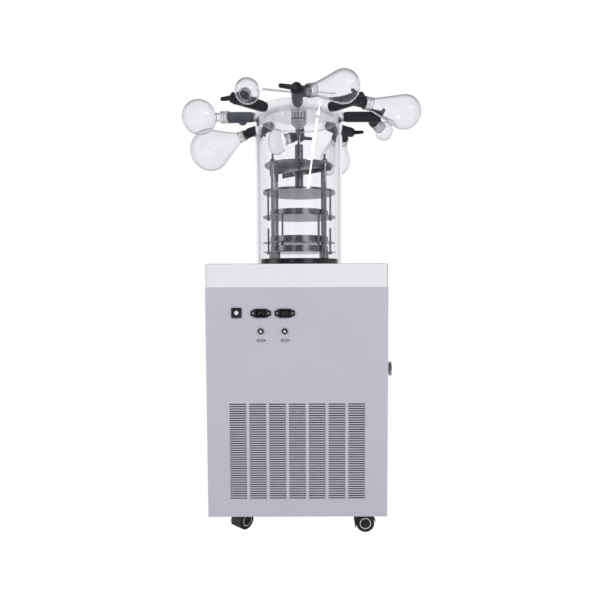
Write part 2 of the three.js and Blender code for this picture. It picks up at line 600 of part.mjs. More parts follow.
/** Clear tube with its bonded lid, port ring and eight nozzles. */
function makeChamber() {
  const inner = CHAMBER.radius - CHAMBER.wall;
  const plateLow = CHAMBER.height - CHAMBER.plate;
  const ringLow = CHAMBER.height - CHAMBER.ringDepth;
  const shell = revolve([
    [inner, CHAMBER_FOOT], [CHAMBER.radius, CHAMBER_FOOT], [CHAMBER.radius, CHAMBER.height - 2],
    [CHAMBER.radius - 2, CHAMBER.height], [GLAND.nut + SEAT, CHAMBER.height],
    [GLAND.nut + SEAT, plateLow], [inner - CHAMBER.ring, plateLow], [inner - CHAMBER.ring, ringLow],
    [inner, ringLow],
  ], 24);
  const spokes = Array.from({ length: NOZZLE.count }, (_, i) => i * 2 * Math.PI / NOZZLE.count);
  const outward = (shape, angle) => shape.rotateY(Math.PI / 2).rotateZ(angle).translate(0, 0, NOZZLE.height);
  const wall = CHAMBER.radius - 3;
  const nozzles = spokes.flatMap((angle) => [
    outward(rod(NOZZLE.radius, NOZZLE.reach + 3, wall, 6), angle),
    outward(rod(NOZZLE.collar, NOZZLE.collarThick + 3, wall, 8), angle),
  ]);
  const bores = spokes.map((angle) => outward(rod(NOZZLE.bore, 90, inner - 30, 6), angle));
  const mesh = piece('chamber', cut(join(shell, ...nozzles), ...bores), 'acrylic');
  mesh.position.z = HOOD_TOP;
  return mesh;
}

/** Sealing gland in the lid: cone nut below, collar through the lid, bored for the press rod. */
function makeGland() {
  const { nut, cone, drop } = GLAND;
  const bore = HANDLE.rod + SEAT;
  const lid = CHAMBER.height;
  const under = lid - CHAMBER.plate - SEAT;
  const low = under - 41;
  const mesh = piece('gland', revolve([
    [bore, low], [cone, low], [cone + 3, low + 5], [nut - 1, low + 15], [nut, low + 17],
    [nut, low + drop], [nut - 4, low + drop + 1], [nut - 4, low + drop + 3], [nut, low + drop + 4],
    [nut, lid + SEAT], [nut + 2, lid + SEAT], [nut + 2, GLAND_TOP - 2], [nut, GLAND_TOP],
    [bore, GLAND_TOP],
  ], 12), 'steel');
  mesh.position.z = HOOD_TOP;
  return mesh;
}

/** Thin press rod with its tee bar. */
function makePressHandle() {
  const { rod: radius, bar, barLength, boss, bossHeight } = HANDLE;
  const barHeight = GLAND_TOP + HANDLE.rise + bossHeight / 2;
  const low = SCREW.top - SCREW.socket + 5;
  const tee = join(
    rod(radius, barHeight - low, low, 10),
    revolve([
      [0, barHeight - bossHeight / 2], [boss, barHeight - bossHeight / 2],
      [boss, barHeight + bossHeight / 2 - 2], [boss - 2, barHeight + bossHeight / 2],
      [0, barHeight + bossHeight / 2],
    ], 10),
    rod(bar, barLength, -barLength / 2, 6).rotateY(Math.PI / 2).translate(0, 0, barHeight),
    ...[-1, 1].map((end) => new THREE.SphereGeometry(bar + 1.4, 6, 4)
      .translate(end * barLength / 2, 0, barHeight)),
  );
  const mesh = piece('press_handle', tee, 'steel');
  mesh.position.z = HOOD_TOP;
  mesh.rotation.z = THREE.MathUtils.degToRad(HANDLE.yaw);
  return mesh;
}

// ---------------------------------------------------------------- stoppering rack
const postCorners = [[-1, -1], [1, -1], [1, 1], [-1, 1]].map(([sx, sy]) => {
  const place = new THREE.Vector2(sx * POST.x, sy * POST.y);
  return place.rotateAround(new THREE.Vector2(), THREE.MathUtils.degToRad(POST.yaw)).toArray();
});
const sideHangers = [[-HANGER.orbit, 0], [HANGER.orbit, 0]];
const crossHangers = [[-56, 75], [56, -75]];

/** Foot plate over the mouth of the trap, pierced for the vapour. */
function makeFootPlate() {
  const low = CHAMBER_FOOT;
  const plate = revolve([
    [FOOT_PLATE.hole, low], [FOOT_PLATE.radius, low], [FOOT_PLATE.radius, low + FOOT_PLATE.thick - 1],
    [FOOT_PLATE.radius - 1, low + FOOT_PLATE.thick], [FOOT_PLATE.hole, low + FOOT_PLATE.thick],
  ], 24);
  const mesh = piece('foot_plate', plate, 'darkSteel');
  mesh.position.z = HOOD_TOP;
  return mesh;
}

/** Four posts, each with its foot sleeve and nut, under a round head with a channel beam. */
function makeRackFrame() {
  const sleeveTop = SHELF_LEVEL.lower - SEAT;
  const posts = postCorners.flatMap(([x, y]) => [
    rod(POST.foot, sleeveTop - FRAME_FOOT, FRAME_FOOT, 8).translate(x, y, 0),
    rod(POST.radius, HEAD.top - FRAME_FOOT, FRAME_FOOT, 8).translate(x, y, 0),
    rod(POST.nut, POST.nutHeight, HEAD.top - 0.5, 6).translate(x, y, 0),
    rod(POST.thread, POST.top - HEAD.top, HEAD.top, 6).translate(x, y, 0),
  ]);
  const plate = rod(HEAD.radius, HEAD.plate, HEAD.top - HEAD.plate, 20);
  const beamLow = HEAD.top - HEAD.plate - HEAD.beamDeep;
  const beam = cut(
    block(HEAD.beamLength, HEAD.beamWide, HEAD.beamDeep + 1, beamLow),
    block(2 * HEAD.beamLength, HEAD.beamWide - 2 * HEAD.sheet, HEAD.beamDeep - HEAD.sheet, beamLow - 0.01),
  ).intersect(solid(rod(HEAD.radius - 2, 80, beamLow - 10, 20)));
  const slant = Math.atan2(-POST.y, POST.x) + THREE.MathUtils.degToRad(POST.yaw);
  const turned = geometryOf(beam).rotateZ(slant);
  const nutBoss = rod(SCREW.radius + 7, HEAD.beamDeep, beamLow, 12);
  const bore = rod(SCREW.radius + 2 * RUN, 80, beamLow - 20, 12);
  const mesh = piece('rack_frame', cut(join(plate, turned, nutBoss, ...posts), bore), 'steel');
  mesh.position.z = HOOD_TOP;
  return mesh;
}

/** Holes of a plate that slides on the posts. */
function postHoles(z, tall) {
  return postCorners.map(([x, y]) => rod(POST.radius + 2 * RUN, tall, z, 8).translate(x, y, 0));
}

/** Holes round the hangers of the plate above or below. */
function hangerHoles(places, z, tall) {
  return places.map(([x, y]) => rod(HANGER.radius + 2 * RUN, tall, z, 8).translate(x, y, 0));
}

/** Hangers that drop from a plate to carry the shelf below on their nuts. */
function hangersDown(places, from, shelfLow) {
  return places.flatMap(([x, y]) => [
    rod(HANGER.radius, from - shelfLow + SEAT + HANGER.nutHeight + HANGER.play,
      shelfLow - SEAT - HANGER.nutHeight - HANGER.play, 6).translate(x, y, 0),
    rod(HANGER.nut, HANGER.nutHeight, shelfLow - SEAT - HANGER.nutHeight, 6).translate(x, y, 0),
  ]);
}

function makePressPlate() {
  const top = PRESS.bottom + PRESS.thick;
  const plate = cut(
    revolve([
      [0, PRESS.bottom], [PRESS.radius, PRESS.bottom], [PRESS.radius, top], [0, top],
    ], 20),
    ...postHoles(PRESS.bottom - 1, PRESS.thick + 2),
  );
  const seat = cut(
    rod(PRESS.boss, PRESS.bossHeight + 1, top - 1, 12),
    rod(SCREW.journal + SEAT, SCREW.journalLength + 2 * SEAT, top + PRESS.bossHeight - SCREW.journalLength - SEAT, 12),
  );
  const body = join(plate, seat, ...hangersDown(sideHangers, PRESS.bottom + 1, SHELF_LEVEL.upper));
  const mesh = piece('press_plate', body, 'steel');
  mesh.position.z = HOOD_TOP;
  return mesh;
}

/** Press screw: turns in the head's nut, journal in the press plate, driven by the rod above. */
function makePressScrew() {
  const seat = PRESS.bottom + PRESS.thick + PRESS.bossHeight;
  const { radius, top, journal, journalLength, socket } = SCREW;
  const low = seat - journalLength + SEAT;
  const mesh = piece('press_screw', revolve([
    [0, low], [journal, low], [journal, seat + SEAT], [radius, seat + SEAT], [radius, top - 2],
    [radius - 2, top], [HANDLE.rod + SEAT, top], [HANDLE.rod + SEAT, top - socket], [0, top - socket],
  ], 12), 'steel');
  mesh.position.z = HOOD_TOP;
  return mesh;
}

/** Shelf with its raised tray wall; hangers and clearance holes depend on its level. */
function makeShelf(name, level, { hangers = [], holes = [], uprights = [], sliding = true }) {
  const top = level + SHELF.thick;
  const wall = SHELF.tray;
  const dish = revolve([
    [0, level], [SHELF.radius, level], [SHELF.radius, top], [wall, top], [wall, top + SHELF.trayHeight],
    [wall - SHELF.trayWall, top + SHELF.trayHeight], [wall - SHELF.trayWall, top], [0, top],
  ], 20);
  const postCuts = sliding ? postHoles(level - 1, SHELF.thick + 2)
    : postCorners.map(([x, y]) => rod(POST.radius + 2 * SEAT, SHELF.thick + 2, level - 1, 8).translate(x, y, 0));
  const plate = cut(dish, ...postCuts, ...hangerHoles(holes, level - 1, SHELF.thick + 2));
  const body = join(plate, ...hangers, ...uprights);
  const mesh = piece(name, body, 'steel');
  mesh.position.z = HOOD_TOP;
  return mesh;
}

function makeShelves() {
  const { lower, middle, upper } = SHELF_LEVEL;
  const uprightTop = SHELF_LEVEL.lower + 74;
  const uprights = sideHangers.flatMap(([x, y]) => [
    rod(HANGER.radius, uprightTop - lower + 3, lower - 3, 6).translate(x, y, 0),
    rod(HANGER.nut, HANGER.nutHeight, lower - HANGER.nutHeight + 0.5, 6).translate(x, y, 0),
  ]);
  return [
    makeShelf('shelf_lower', lower, { uprights, sliding: false }),
    makeShelf('shelf_middle', middle, { holes: [...crossHangers, ...sideHangers] }),
    makeShelf('shelf_upper', upper, {
      holes: sideHangers, hangers: hangersDown(crossHangers, upper + 1, middle),
    }),
  ];
}

// ---------------------------------------------------------------- ports, valves and flasks
/** Turns a shape drawn along +Z to point along +X. */
const along = (shape) => shape.rotateY(Math.PI / 2);

/** Places a shape drawn along +Z on the branch that leans away from the run. */
const onBranch = (shape) => along(shape).rotateZ(THREE.MathUtils.degToRad(VALVE.lean))
  .translate(VALVE.root, 0, 0);

/** Places a shape drawn along +Z on the side arm of the straight valve. */
const onSideArm = (shape) => along(shape).rotateZ(-Math.PI / 2).translate(THROUGH.branchAt, 0, 0);

/** Lip and short rubber plug that a flask's neck sits on, from the distance given. */
function plugOutline(tube, from) {
  return [
    [tube, from - PLUG.lip - 3], [GLASS.neck, from - PLUG.lip], [GLASS.neck, from],
    [PLUG.radius, from], [PLUG.radius - 0.6, from + PLUG.into],
  ];
}

function makeValveBody(number, { straight }) {
  const start = CHAMBER.radius + NOZZLE.collarThick + SEAT;
  const grip = CHAMBER.radius + NOZZLE.reach + SEAT;
  const sides = 8;
  const farEnd = straight ? THROUGH.end + PLUG.into : VALVE.end;
  const tail = straight ? plugOutline(VALVE.run, THROUGH.end) : [[VALVE.run, VALVE.end]];
  const run = along(revolve([
    [0, start], [VALVE.mouth, start], [VALVE.run, start + 4], ...tail, [0, farEnd],
  ], sides));
  const socket = along(rod(clear(NOZZLE.radius + SEAT, sides), grip - start + 1, start - 1, sides));
  const bore = (length, from) => rod(NOZZLE.bore, length, from, 6);
  const tapHole = (from) => rod(clear(TAP.plug + SEAT, 10), TAP.depth + 1, from - TAP.depth - SEAT, 10);
  if (straight) {
    const arm = onSideArm(rod(VALVE.branch, THROUGH.arm, 0, sides));
    const waterway = along(bore(farEnd - grip + 2, grip - 1));
    return piece(`valve_body_${number}`,
      cut(join(run, arm), socket, waterway, onSideArm(tapHole(THROUGH.arm))), 'rubber');
  }
  const branchEnd = VALVE.reach + PLUG.into;
  const branch = revolve([[0, 0], [VALVE.branch, 0], ...plugOutline(VALVE.branch, VALVE.reach),
    [0, branchEnd]], sides);
  return piece(`valve_body_${number}`, cut(
    join(run, onBranch(branch)), socket, along(bore(VALVE.end - grip, grip - 1)),
    along(tapHole(VALVE.end)), onBranch(bore(branchEnd, 1)),
  ), 'rubber');
}

/** Tap of a valve: plug, collar and thumb lever, pointing out along +X. */
function makeTap(number, { straight, lever: turn }) {
  const outer = straight ? THROUGH.arm : VALVE.end;
  const low = outer - TAP.depth;
  const collarLow = outer + SEAT;
  const collarTop = collarLow + TAP.collarThick;
  const plug = revolve([
    [0, low], [TAP.plug, low], [TAP.plug, collarLow], [TAP.collar, collarLow],
    [TAP.collar, collarTop], [0, collarTop],
  ], 10);
  const blade = new THREE.Shape();
  const half = TAP.leverWide / 2;
  blade.moveTo(-half - 1, 0);
  blade.lineTo(-half + 1, -TAP.lever + half);
  blade.absarc(0, -TAP.lever + half, half - 1, Math.PI, 2 * Math.PI, false);
  blade.lineTo(half + 1, 0);
  const lever = slab(blade, TAP.leverThick, 0, 3).rotateX(THREE.MathUtils.degToRad(-TAP.slant))
    .translate(0, 0, collarLow + 1);
  const tap = along(geometryOf(join(plug, lever))).rotateX(THREE.MathUtils.degToRad(turn));
  return piece(`valve_tap_${number}`, straight
    ? tap.rotateX(Math.PI).rotateZ(-Math.PI / 2).translate(THROUGH.branchAt, 0, 0) : tap, 'plastic');
}

/** Half outline of a flask from its mouth to its bottom, shrunk by a wall for the inside. */
function flaskSide({ shape, bulb, centre }, mouth, shrink) {
  const neck = GLASS.neck - shrink;
  const radius = bulb - shrink;
  const reach = Math.min(GLASS.neckLength, centre - mouth - Math.sqrt(bulb ** 2 - GLASS.neck ** 2));
  const points = [[neck, mouth]];
  let from = Math.asin(neck / radius);
  if (shape === 'pear') {
    const fall = centre - mouth - GLASS.neckLength;
    points.push([neck, mouth + GLASS.neckLength]);
    from = Math.atan2(neck, fall) + Math.acos(radius / Math.hypot(neck, fall));
  } else if (shape === 'waisted') {
    points.push([neck, mouth + reach], [GLASS.waist - shrink, mouth + reach + 4]);
    from = Math.asin((GLASS.waist - shrink) / radius);
  }
  const steps = 5;
  for (let i = 0; i <= steps; i += 1) {
    const angle = from + (Math.PI - from) * i / steps;
    points.push([i === steps ? 0 : radius * Math.sin(angle), centre - radius * Math.cos(angle)]);
  }
  return points;
}

/** Hollow glass flask drawn along +Z from the root of its branch. */
function makeFlask(number, port) {
  const mouth = (port.straight ? THROUGH.end : VALVE.reach) + SEAT;
  const place = port.straight ? { ...port, centre: THROUGH.end + port.centre } : port;
  const outside = flaskSide(place, mouth, 0);
  const inside = flaskSide(place, mouth, GLASS.wall);
  const glass = revolve([...outside, ...inside.reverse()], 12);
  return piece(`flask_${number}`, port.straight ? along(glass) : onBranch(glass), 'glass');
}

/** One port's valve, tap and flask, rolled about the port's axis. */
function makePort(port, index) {
  const number = index + 1;
  const rolled = new THREE.Group();
  rolled.add(makeValveBody(number, port), makeTap(number, port), makeFlask(number, port));
  rolled.rotation.x = THREE.MathUtils.degToRad(port.roll);
  const spoke = new THREE.Group();
  spoke.add(rolled);
  spoke.rotation.z = THREE.MathUtils.degToRad(port.azimuth);
  spoke.position.z = HOOD_TOP + NOZZLE.height;
  return spoke;
}

// ---------------------------------------------------------------- assembly
const dryer = new THREE.Group();
dryer.name = 'freeze_dryer';
dryer.add(
  makeBasePlate(), makeRearPanel(), makeSidePanel('side_panel_left', -1), makeSidePanel('side_panel_right', 1),
  makeFrontPanel(), makeHood(), makeScreen(), makeSwitch(), makeSignalSocket(),
  makeMainsSocket('power_inlet', MAINS_X.inlet, true), makeMainsSocket('pump_outlet', MAINS_X.outlet, false),
  makeFuseHolder('fuse_holder_left', FUSE.x[0]), makeFuseHolder('fuse_holder_right', FUSE.x[1]),
  makeVacuumPort(), makeColdTrap(), makeCondenser(), makeFan(), makeCompressor(),
  ...casterPlaces().map(makeCaster),
  makeChamber(), makeGland(), makePressHandle(), makePressScrew(), makePressPlate(),
  makeFootPlate(), makeRackFrame(), ...makeShelves(),
  ...PORTS.map(makePort),
);

export default dryer;
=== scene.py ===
"""Looks of the freeze dryer: finishes, fine forms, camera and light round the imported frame."""

import bmesh
import bpy
import json
import math
from mathutils import Matrix, Vector


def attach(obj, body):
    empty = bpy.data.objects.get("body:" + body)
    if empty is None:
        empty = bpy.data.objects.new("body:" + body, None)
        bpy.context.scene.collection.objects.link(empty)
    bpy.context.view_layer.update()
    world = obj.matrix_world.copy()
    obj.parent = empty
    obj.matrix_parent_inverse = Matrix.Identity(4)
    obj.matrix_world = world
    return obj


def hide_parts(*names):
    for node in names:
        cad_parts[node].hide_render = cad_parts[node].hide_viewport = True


# lengths in millimetres, as the solids have them
MM = 0.001
SEAT = 0.3                        # gap between two pieces that touch
HOOD_TOP = 695.0
HALF_WIDTH, HALF_DEPTH = 225.0, 300.0

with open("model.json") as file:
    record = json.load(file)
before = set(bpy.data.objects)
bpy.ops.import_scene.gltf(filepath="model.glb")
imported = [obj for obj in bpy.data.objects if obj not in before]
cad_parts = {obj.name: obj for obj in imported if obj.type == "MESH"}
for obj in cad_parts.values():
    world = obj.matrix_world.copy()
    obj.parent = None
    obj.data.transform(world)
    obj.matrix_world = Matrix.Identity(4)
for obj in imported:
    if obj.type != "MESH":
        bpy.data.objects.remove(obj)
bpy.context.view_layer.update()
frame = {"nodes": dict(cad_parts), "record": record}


# ------------------------------------------------------------------ node materials
def new_material(name):
    """Material with a Principled shader, and its node tree's parts."""
    mat = bpy.data.materials.new(name)
    mat.use_nodes = True
    tree = mat.node_tree
    return mat, tree, tree.nodes["Principled BSDF"]


def noise(tree, scale, detail=3.0, rough=0.5, stretch=None):
    """Noise texture in object space, stretched where a direction is given."""
    coords = tree.nodes.new("ShaderNodeTexCoord")
    mapping = tree.nodes.new("ShaderNodeMapping")
    if stretch:
        mapping.inputs["Scale"].default_value = stretch
    texture = tree.nodes.new("ShaderNodeTexNoise")
    texture.inputs["Scale"].default_value = scale
    texture.inputs["Detail"].default_value = detail
    texture.inputs["Roughness"].default_value = rough
    tree.links.new(coords.outputs["Object"], mapping.inputs["Vector"])
    tree.links.new(mapping.outputs["Vector"], texture.inputs["Vector"])
    return texture.outputs["Fac"]


def ramp(tree, source, stops):
    """Colour ramp over a value."""
    node = tree.nodes.new("ShaderNodeValToRGB")
    elements = node.color_ramp.elements
    while len(elements) < len(stops):
        elements.new(0.5)
    for element, (place, colour) in zip(elements, stops):
        element.position = place
        element.color = (*colour, 1.0)
    tree.links.new(source, node.inputs["Fac"])
    return node.outputs["Color"]


def bump(tree, shader, height, strength, distance):
    """Fine relief on a shader."""
    node = tree.nodes.new("ShaderNodeBump")
    node.inputs["Strength"].default_value = strength
    node.inputs["Distance"].default_value = distance
    tree.links.new(height, node.inputs["Height"])
    tree.links.new(node.outputs["Normal"], shader.inputs["Normal"])


def surface(name, colour, rough, metal=0.0, vary=0.03, grain=400.0, depth=0.00004, strength=0.3,
            rough_vary=0.06, stretch=None, coat=0.0, specular=0.5):
    """Opaque finish: two close tones, uneven roughness and a fine grain."""
    mat, tree, shader = new_material(name)
    soft = noise(tree, 9.0, 4.0, stretch=stretch)
    dark = tuple(c * (1 - vary) for c in colour)
    light = tuple(min(1.0, c * (1 + vary)) for c in colour)
    tree.links.new(ramp(tree, soft, [(0.35, dark), (0.65, light)]), shader.inputs["Base Color"])
    low, high = max(0.0, rough - rough_vary), rough + rough_vary
    fine = noise(tree, grain, 2.0, stretch=stretch)
    tree.links.new(ramp(tree, fine, [(0.3, (low,) * 3), (0.7, (high,) * 3)]), shader.inputs["Roughness"])
    shader.inputs["Metallic"].default_value = metal
    shader.inputs["Coat Weight"].default_value = coat
    shader.inputs["Coat Roughness"].default_value = 0.08
    shader.inputs["Specular IOR Level"].default_value = specular
    bump(tree, shader, fine, strength, depth)
    return mat


def clear(name, tint, rough, ior, through=0.0):
    """Clear solid with a faintly uneven surface; through is the share of light that passes unbent."""
    mat, tree, shader = new_material(name)
    shader.inputs["Base Color"].default_value = (*tint, 1.0)
    shader.inputs["Roughness"].default_value = rough
    shader.inputs["IOR"].default_value = ior
    shader.inputs["Transmission Weight"].default_value = 1.0
    bump(tree, shader, noise(tree, 14.0, 1.0), 0.04, 0.0006)
    if through:
        straight = tree.nodes.new("ShaderNodeBsdfTransparent")
        straight.inputs["Color"].default_value = (*tint, 1.0)
        blend = tree.nodes.new("ShaderNodeMixShader")
        blend.inputs["Fac"].default_value = through
        tree.links.new(shader.outputs[0], blend.inputs[1])
        tree.links.new(straight.outputs[0], blend.inputs[2])
        tree.links.new(blend.outputs[0], tree.nodes["Material Output"].inputs["Surface"])
    return mat


PAINT = surface("cabinet_paint", (0.565, 0.557, 0.622), 0.42, vary=0.012, grain=900, depth=0.00002)
HOOD = surface("hood_paint", (0.845, 0.85, 0.87), 0.36, vary=0.012, grain=900, depth=0.00002)
# dark finish for the painted shade line along the hood's folded edge
FOLD_SHADE = surface("hood_fold_shade", (0.34, 0.34, 0.35), 0.5)
ZINC = surface("zinc_plate", (0.42, 0.42, 0.44), 0.38, metal=0.9, vary=0.12, grain=240)
STEEL = surface("polished_steel", (0.44, 0.442, 0.455), 0.13, metal=1.0, vary=0.05, grain=500, depth=0.00001,
                rough_vary=0.05, stretch=(1.0, 1.0, 0.08), specular=0.4)
SATIN = surface("satin_steel", (0.46, 0.465, 0.48), 0.26, metal=1.0, vary=0.06, grain=600,
                stretch=(1.0, 1.0, 0.06))
BRIGHT = surface("bright_plating", (0.86, 0.865, 0.88), 0.32, metal=0.25, vary=0.04, grain=500,
                 depth=0.00001)
# white of the signal socket's insert; the same finish paints the highlight on the fuse caps
WHITE = surface("white_insert_and_highlight", (0.80, 0.80, 0.80), 0.45, vary=0.03)
# dark steel of real parts; also the painted shade in the gland's grooves and flutes, screw recesses and
# outlet slots
DARK = surface("dark_steel", (0.028, 0.03, 0.036), 0.30, metal=0.3, vary=0.1, coat=0.3)
FINS = surface("fin_aluminium", (0.13, 0.165, 0.21), 0.45, metal=0.5, vary=0.25, grain=300)
TUBE = surface("coil_tube", (0.10, 0.095, 0.09), 0.4, metal=0.6, vary=0.15)
PLASTIC = surface("black_plastic", (0.012, 0.012, 0.014), 0.42, vary=0.1, grain=1500, depth=0.00003)
GLOSS = surface("gloss_plastic", (0.01, 0.01, 0.012), 0.18, vary=0.1, coat=0.4)
RUBBER = surface("caster_rubber", (0.018, 0.018, 0.020), 0.55, vary=0.15, grain=700, depth=0.0001)
VALVE = surface("valve_rubber", (0.016, 0.018, 0.024), 0.42, vary=0.15, grain=900, depth=0.00006)
BLOOM = surface("bloomed_rubber", (0.100, 0.104, 0.132), 0.5, vary=0.15, grain=900, depth=0.00006)
INK = surface("printed_ink", (0.03, 0.03, 0.034), 0.5, vary=0.05)
SCREEN = surface("screen_glass", (0.006, 0.007, 0.010), 0.06, vary=0.02, coat=1.0)
ACRYLIC = clear("clear_acrylic", (0.985, 0.987, 0.992), 0.0, 1.49)
GLASS = clear("clear_glass", (0.945, 0.947, 0.957), 0.0, 1.47)
EDGE = clear("acrylic_lid", (0.955, 0.957, 0.967), 0.0, 1.49, through=0.72)

SLOT_FINISH = {
    "cabinet_paint": PAINT, "hood_paint": HOOD, "zinc_plate": ZINC, "polished_steel": STEEL,
    "dark_steel": DARK, "fin_aluminium": FINS, "black_plastic": PLASTIC, "caster_rubber": RUBBER,
    "valve_rubber": VALVE, "screen_glass": SCREEN, "clear_acrylic": ACRYLIC, "clear_glass": GLASS,
}
node_slot = {part["node"]: part["material_slot"] for part in frame["record"]["subparts"]}
for node_name, node in frame["nodes"].items():
    for index in range(len(node.data.materials)):
        node.data.materials[index] = SLOT_FINISH[node_slot[node_name]]
node_body = {node: body for body, nodes in frame["record"]["behaviour"]["bodies"].items() for node in nodes}


# ------------------------------------------------------------------ mesh building, in millimetres
class Shape:
    """Collects closed forms in millimetres, each with a finish, into one object."""

    def __init__(self):
        self.bm = bmesh.new()
        self.finishes = []

    def _finish(self, mat):
        """Number of a finish in this object."""
        if mat not in self.finishes:
            self.finishes.append(mat)
        return self.finishes.index(mat)

    def add(self, verts, faces, mat, place=None):
        """Adds faces over a list of points."""
        place = place or Matrix()
        made = [self.bm.verts.new(place @ Vector(v)) for v in verts]
        index = self._finish(mat)
        for face in faces:
            corners = [made[i] for i in face]
            if len(set(face)) == len(face):
                self.bm.faces.new(corners).material_index = index
        return self

    def lathe(self, profile, mat, place=None, sides=48):
        """Revolves [radius, height] points about +Z; closed on the axis or on itself."""
        open_ended = profile[0][0] == 0 and profile[-1][0] == 0
        rings, verts = [], []
        for r, z in profile:
            if r == 0:
                rings.append([len(verts)] * sides)
                verts.append((0, 0, z))
            else:
                rings.append(list(range(len(verts), len(verts) + sides)))
                verts += [(x, y, z) for x, y in circle(r, sides)]
        faces = []
        for i in range(len(rings) if not open_ended else len(rings) - 1):
            a, b = rings[i], rings[(i + 1) % len(rings)]
            for k in range(sides):
                n = (k + 1) % sides
                quad = [a[k], a[n], b[n], b[k]]
                faces.append([v for j, v in enumerate(quad) if v not in quad[:j]])
        return self.add(verts, [f for f in faces if len(f) > 2], mat, place)

    def rod(self, radius, low, high, mat, place=None, sides=32, soft=0.6):
        """Round bar with softened ends."""
        soft = min(soft, radius / 2, abs(high - low) / 3)
        return self.lathe([(0, low), (radius - soft, low), (radius, low + soft), (radius, high - soft),
                           (radius - soft, high), (0, high)], mat, place, sides)

    def box(self, low, high, mat, place=None, soft=0.0, steps=2):
        """Box between two corners, with rounded edges."""
        other = bmesh.new()
        bmesh.ops.create_cube(other, size=1.0)
        centre = [(a + b) / 2 for a, b in zip(low, high)]
        size = [abs(b - a) for a, b in zip(low, high)]
        for v in other.verts:
            v.co = Vector([c + s * t for c, s, t in zip(centre, size, v.co)])
        if soft:
            bmesh.ops.bevel(other, geom=other.edges[:], offset=soft, segments=steps, profile=0.5,
                            affect="EDGES")
        return self.take(other, mat, place)

    def slab(self, outline, low, high, mat, place=None, soft=0.0, steps=2):
        """Prism of a counter-clockwise outline in the XY plane."""
        other = bmesh.new()
        base = [other.verts.new((x, y, low)) for x, y in outline]
        cap = [other.verts.new((x, y, high)) for x, y in outline]
        other.faces.new(base[::-1])
        other.faces.new(cap)
        for i in range(len(outline)):
            n = (i + 1) % len(outline)
            other.faces.new((base[i], base[n], cap[n], cap[i]))
        if soft:
            edges = [e for e in other.edges if abs(e.verts[0].co.z - e.verts[1].co.z) < 1e-6]
            bmesh.ops.bevel(other, geom=edges, offset=soft, segments=steps, profile=0.5, affect="EDGES")
        return self.take(other, mat, place)

    def take(self, other, mat, place=None):
        """Takes over another bmesh."""
        other.verts.index_update()
        verts = [v.co.copy() for v in other.verts]
        faces = [[v.index for v in f.verts] for f in other.faces]
        other.free()
        return self.add(verts, faces, mat, place)

    def object(self, name, angle=35.0):
        """Finished object in metres, smooth except over sharp angles."""
        bmesh.ops.recalc_face_normals(self.bm, faces=self.bm.faces[:])
        bmesh.ops.scale(self.bm, vec=(MM, MM, MM), verts=self.bm.verts[:])
        mesh = bpy.data.meshes.new(name)
        self.bm.to_mesh(mesh)
        self.bm.free()
        for mat in self.finishes:
            mesh.materials.append(mat)
        mesh.polygons.foreach_set("use_smooth", [True] * len(mesh.polygons))
        mesh.set_sharp_from_angle(angle=math.radians(angle))
        obj = bpy.data.objects.new(name, mesh)
        bpy.context.scene.collection.objects.link(obj)
        return obj


def stand_for(shape, node, name, angle=35.0):
    """Object that stands for one CAD node and moves with its body."""
    obj = shape.object(name, angle)
    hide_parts(node)
    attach(obj, node_body[node])
    return obj


def trim(shape, name, body, angle=35.0):
    """Small added detail that rides on a body."""
    obj = shape.object(name, angle)
    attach(obj, body)
    return obj


def moved(x=0.0, y=0.0, z=0.0):
    """Shift, in millimetres."""
    return Matrix.Translation((x, y, z))


def turned(degrees, axis):
    """Turn about an axis."""
    return Matrix.Rotation(math.radians(degrees), 4, axis)


def arc(x, y, radius, start, end, steps):
    """Points of an arc, angles in degrees from the first axis of its plane."""
    return [(x + radius * math.cos(math.radians(start + (end - start) * i / steps)),
             y + radius * math.sin(math.radians(start + (end - start) * i / steps)))
            for i in range(steps + 1)]


def circle(radius, sides, x=0.0, y=0.0):
    """Points of a closed circle, counter-clockwise."""
    return [(x + radius * math.cos(2 * math.pi * k / sides), y + radius * math.sin(2 * math.pi * k / sides))
            for k in range(sides)]


def rounded(wide, tall, radius, x=0.0, y=0.0, steps=6):
    """Outline of a rectangle with rounded corners, counter-clockwise."""
    points = []
    for cx, cy, start in ((1, 1, 0), (-1, 1, 90), (-1, -1, 180), (1, -1, 270)):
        points += arc(x + cx * (wide / 2 - radius), y + cy * (tall / 2 - radius), radius,
                      start, start + 90, steps)
    return points


def pierced(shape, outline, holes, low, high, mat, place):
    """Slab of an outline with openings through it."""
    flat = bmesh.new()
    edges = []
    for loop in [outline] + holes:
        made = [flat.verts.new((x, y, low)) for x, y in loop]
        edges += [flat.edges.new((made[k], made[(k + 1) % len(made)])) for k in range(len(made))]
    bmesh.ops.triangle_fill(flat, use_beauty=True, edges=edges, normal=(0, 0, 1))
    grown = bmesh.ops.extrude_face_region(flat, geom=flat.faces[:])
    bmesh.ops.translate(flat, vec=(0, 0, high - low),
                        verts=[v for v in grown["geom"] if isinstance(v, bmesh.types.BMVert)])
    shape.take(flat, mat, place)


# ------------------------------------------------------------------ drying chamber
FACE_X = turned(90, "Y")          # +Z becomes +X
up = moved(z=HOOD_TOP)            # heights of the chamber and the rack start at the hood's top
CHAMBER_FOOT = 3 + 2 * SEAT
RADIUS, BORE = 129, 119           # chamber tube
RING_LOW, RING_BORE = 428, 102.6  # thick ring that the nozzles are bonded into
LID_LOW, LID_TOP = 445, 457
NOZZLE_LEVEL = 441
FLANGE_END, NOZZLE_END = 133, 160 # ends of a nozzle's collar and tube, from the axis

